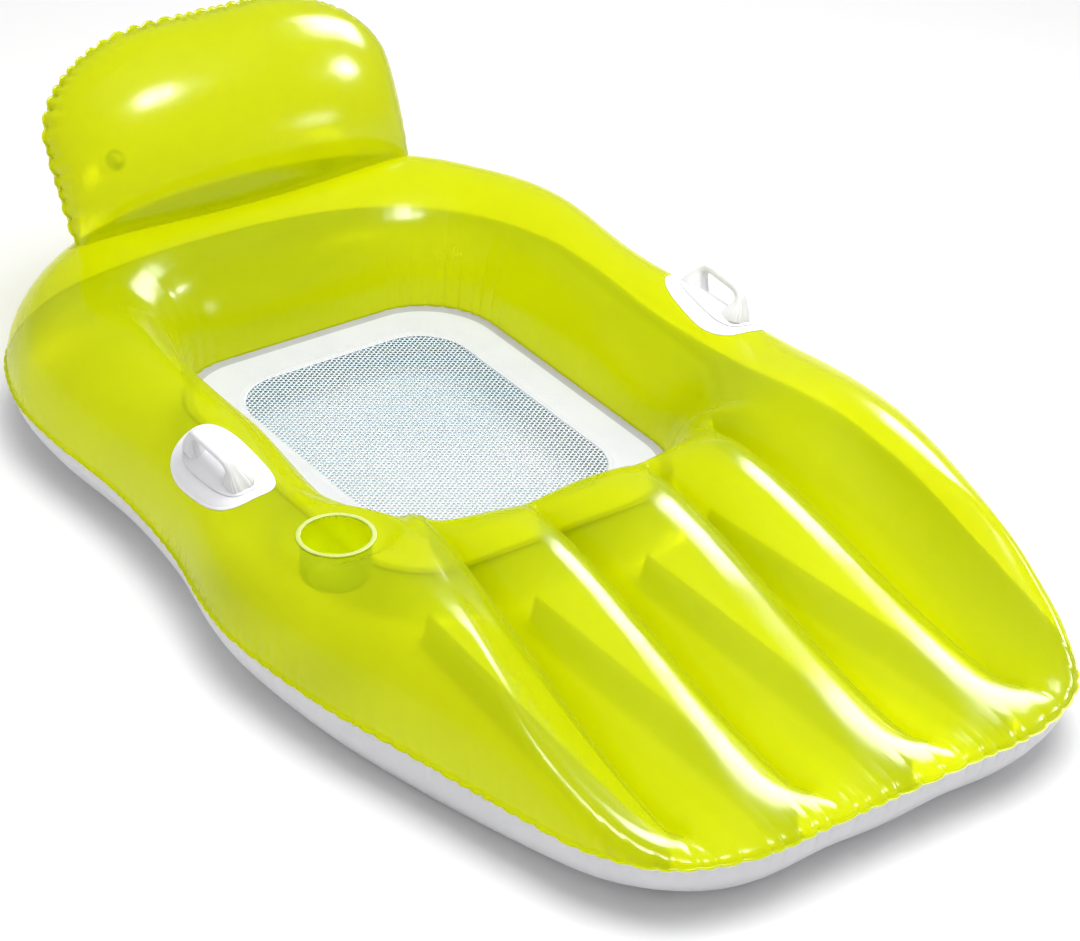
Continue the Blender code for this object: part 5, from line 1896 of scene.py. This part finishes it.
    def build_floor(self, material: bpy.types.Material) -> None:
        """Make the lens that the panels stand on.

        Args:
            material: The backrest's film.
        """
        lens = -np.cos(np.linspace(0.0, math.pi, self.lens_columns))
        depth = (self.base_depth + self.floor_margin) * (1.0 - lens ** 2) + self.floor_margin
        sink = self.above(np.array([0.0, self.plane.translation.y, self.base_height]))
        middle = self.plane.translation.y - sink * math.tan(self.lean)
        x = lens * (self.half_base + self.floor_margin)
        grid = []
        for share in np.linspace(-1.0, 1.0, self.lens_rows):
            row = []
            for a, d in zip(x, depth):
                y = middle + d * share
                row.append((a, y, 1.0 - self.above(np.array([a, y, 1.0])) + self.floor_lift))
            grid.append(row)
        points = np.array(grid)
        piece = new_piece("backrest_floor_film", points.reshape(-1, 3),
                          grid_faces(len(grid), len(x), False), material)
        stand_for(piece, "lime_film", "backrest_floor")


@dataclass
class AirValves:
    """The two valves: their CAD pieces keep their shape and get soft milky vinyl."""

    labels: tuple[str, ...] = ("body", "backrest")
    pieces: tuple[str, ...] = ("flange", "stem", "plug", "flap")

    def dress(self) -> None:
        """Give every valve piece its finish."""
        material = VALVE.make()
        for label in self.labels:
            for piece in self.pieces:
                node = frame["nodes"][f"{label}_valve_{piece}"]
                node.data.materials.clear()
                node.data.materials.append(material)
                LOG.info("%s dressed", node.name)


@dataclass
class Studio:
    """Floor, lamps, world and the camera at the photograph's angle."""

    azimuth: float = -0.66858
    elevation: float = 0.56343
    distance: float = 4.36747
    focal_share: float = 3172.49 / 1080
    roll: float = 0.061768
    target: tuple[float, float, float] = (0.03154, -0.0487, 0.115)
    world: float = 0.38
    overhead: float = 172.0
    overhead_place: tuple[float, float, float] = (0.15, -0.4, 3.6)
    overhead_size: tuple[float, float] = (3.1, 3.1)
    aim: tuple[float, float, float] = (0.0, 0.0, 0.15)
    sensor: float = 36.0
    floor_lift: float = 0.11
    floor_half: float = 20.0
    floor_drop: float = 0.0006
    lamp_reach: float = 4.0
    softboxes: tuple = (("right_softbox", 69.0, 34.0, (1.25, 1.7), 210.0),
                        ("side_softbox", 104.0, 29.0, (0.55, 0.55), 60.0),
                        ("front_softbox", 166.0, 66.0, (1.0, 0.7), 120.0),
                        ("low_front_softbox", 134.0, 11.0, (0.45, 0.5), 12.0))

    def camera(self) -> None:
        """Set the camera."""
        ca, sa = math.cos(self.azimuth), math.sin(self.azimuth)
        ce, se = math.cos(self.elevation), math.sin(self.elevation)
        back = Vector((sa * ce, -ca * ce, se))
        right = (-back).cross(Vector((0.0, 0.0, 1.0))).normalized()
        up = right.cross(-back)
        c, s = math.cos(self.roll), math.sin(self.roll)
        turned = Matrix((c * right + s * up, -s * right + c * up, back)).transposed().to_4x4()
        turned.translation = Vector(self.target) + back * self.distance
        data = bpy.data.cameras.new("photo_camera")
        data.sensor_width = self.sensor
        data.lens = self.focal_share * data.sensor_width
        made = bpy.data.objects.new("photo_camera", data)
        made.matrix_world = turned
        bpy.context.scene.collection.objects.link(made)
        bpy.context.scene.camera = made

    def lamp(self, name: str, place: tuple, aim: tuple, size: tuple[float, float], watts: float,
             gloss_only: bool = False) -> None:
        """Add a soft lamp.

        Args:
            name: Its name.
            place: Where it stands.
            aim: What it points at.
            size: Its width and height.
            watts: Its power.
            gloss_only: Whether it shows only as a reflection.
        """
        data = bpy.data.lights.new(name, "AREA")
        data.shape = "RECTANGLE"
        data.size, data.size_y = size
        data.energy = watts
        made = bpy.data.objects.new(name, data)
        made.location = place
        made.rotation_euler = (Vector(aim) - Vector(place)).to_track_quat("-Z", "Y").to_euler()
        made.visible_camera = False
        if gloss_only:
            made.visible_diffuse = False
        bpy.context.scene.collection.objects.link(made)

    def floor(self) -> None:
        """Lay the plain white floor, which the camera and reflections see as the background."""
        g = Graph("studio_floor")
        colour = g.blend(g.noise(0.8, 2.0), (0.80, 0.80, 0.80, 1), (0.805, 0.805, 0.805, 1))
        lit = g.node("BsdfDiffuse", {"Color": colour})
        path = g.node("LightPath").outputs
        seen = path["Is Camera Ray"]
        for ray in ("Is Glossy Ray", "Is Transmission Ray"):
            seen = g.node("Math", {0: seen, 1: path[ray]}, operation="MAXIMUM").outputs[0]
        strength = g.node("Math", {0: seen, 1: self.floor_lift}, operation="MULTIPLY").outputs[0]
        lift = g.node("Emission", {"Color": (1.0, 1.0, 1.0, 1.0), "Strength": strength})
        material = g.finish(g.node("AddShader", {0: lit.outputs[0], 1: lift.outputs[0]}))
        half = self.floor_half
        points = np.array([(-half, -half, 0), (half, -half, 0), (half, half, 0), (-half, half, 0)])
        made = new_piece("studio_floor", points, [[0, 1, 2, 3]], material)
        made.location.z = -self.floor_drop

    def around(self, azimuth: float, elevation: float,
               distance: float) -> tuple[float, float, float]:
        """Find a place round the float.

        Args:
            azimuth: Degrees from +Y towards +X.
            elevation: Degrees over the floor.
            distance: Distance from the float's middle.

        Returns:
            The place.
        """
        a, e = math.radians(azimuth), math.radians(elevation)
        return (distance * math.sin(a) * math.cos(e), distance * math.cos(a) * math.cos(e),
                distance * math.sin(e) + self.target[2])

    def build(self) -> None:
        """Set the stage."""
        scene = bpy.context.scene
        scene.view_settings.view_transform = "Standard"
        world = bpy.data.worlds.new("studio")
        world.use_nodes = True
        sky = world.node_tree.nodes["Background"]
        sky.inputs["Color"].default_value = (1.0, 1.0, 1.0, 1.0)
        sky.inputs["Strength"].default_value = self.world
        scene.world = world
        self.floor()
        self.camera()
        self.lamp("overhead_softbox", self.overhead_place, (0.0, 0.0, 0.0), self.overhead_size,
                  self.overhead)
        bpy.data.objects["overhead_softbox"].visible_glossy = False
        for name, azimuth, elevation, size, watts in self.softboxes:
            place = self.around(azimuth, elevation, self.lamp_reach)
            self.lamp(name, place, self.aim, size, watts, True)


def main() -> None:
    """Build every piece in order."""
    logging.basicConfig(level=logging.INFO, format="%(name)s: %(message)s")
    body = InflatedBody()
    film = body.build()
    LegWebs(body).build()
    SeatPanel(body).build()
    CupHolder().build()
    for side in Side:
        CarryHandle(side, film).build()
    Backrest(body, film).build()
    AirValves().dress()
    Studio().build()


if __name__ == "__main__":
    main()
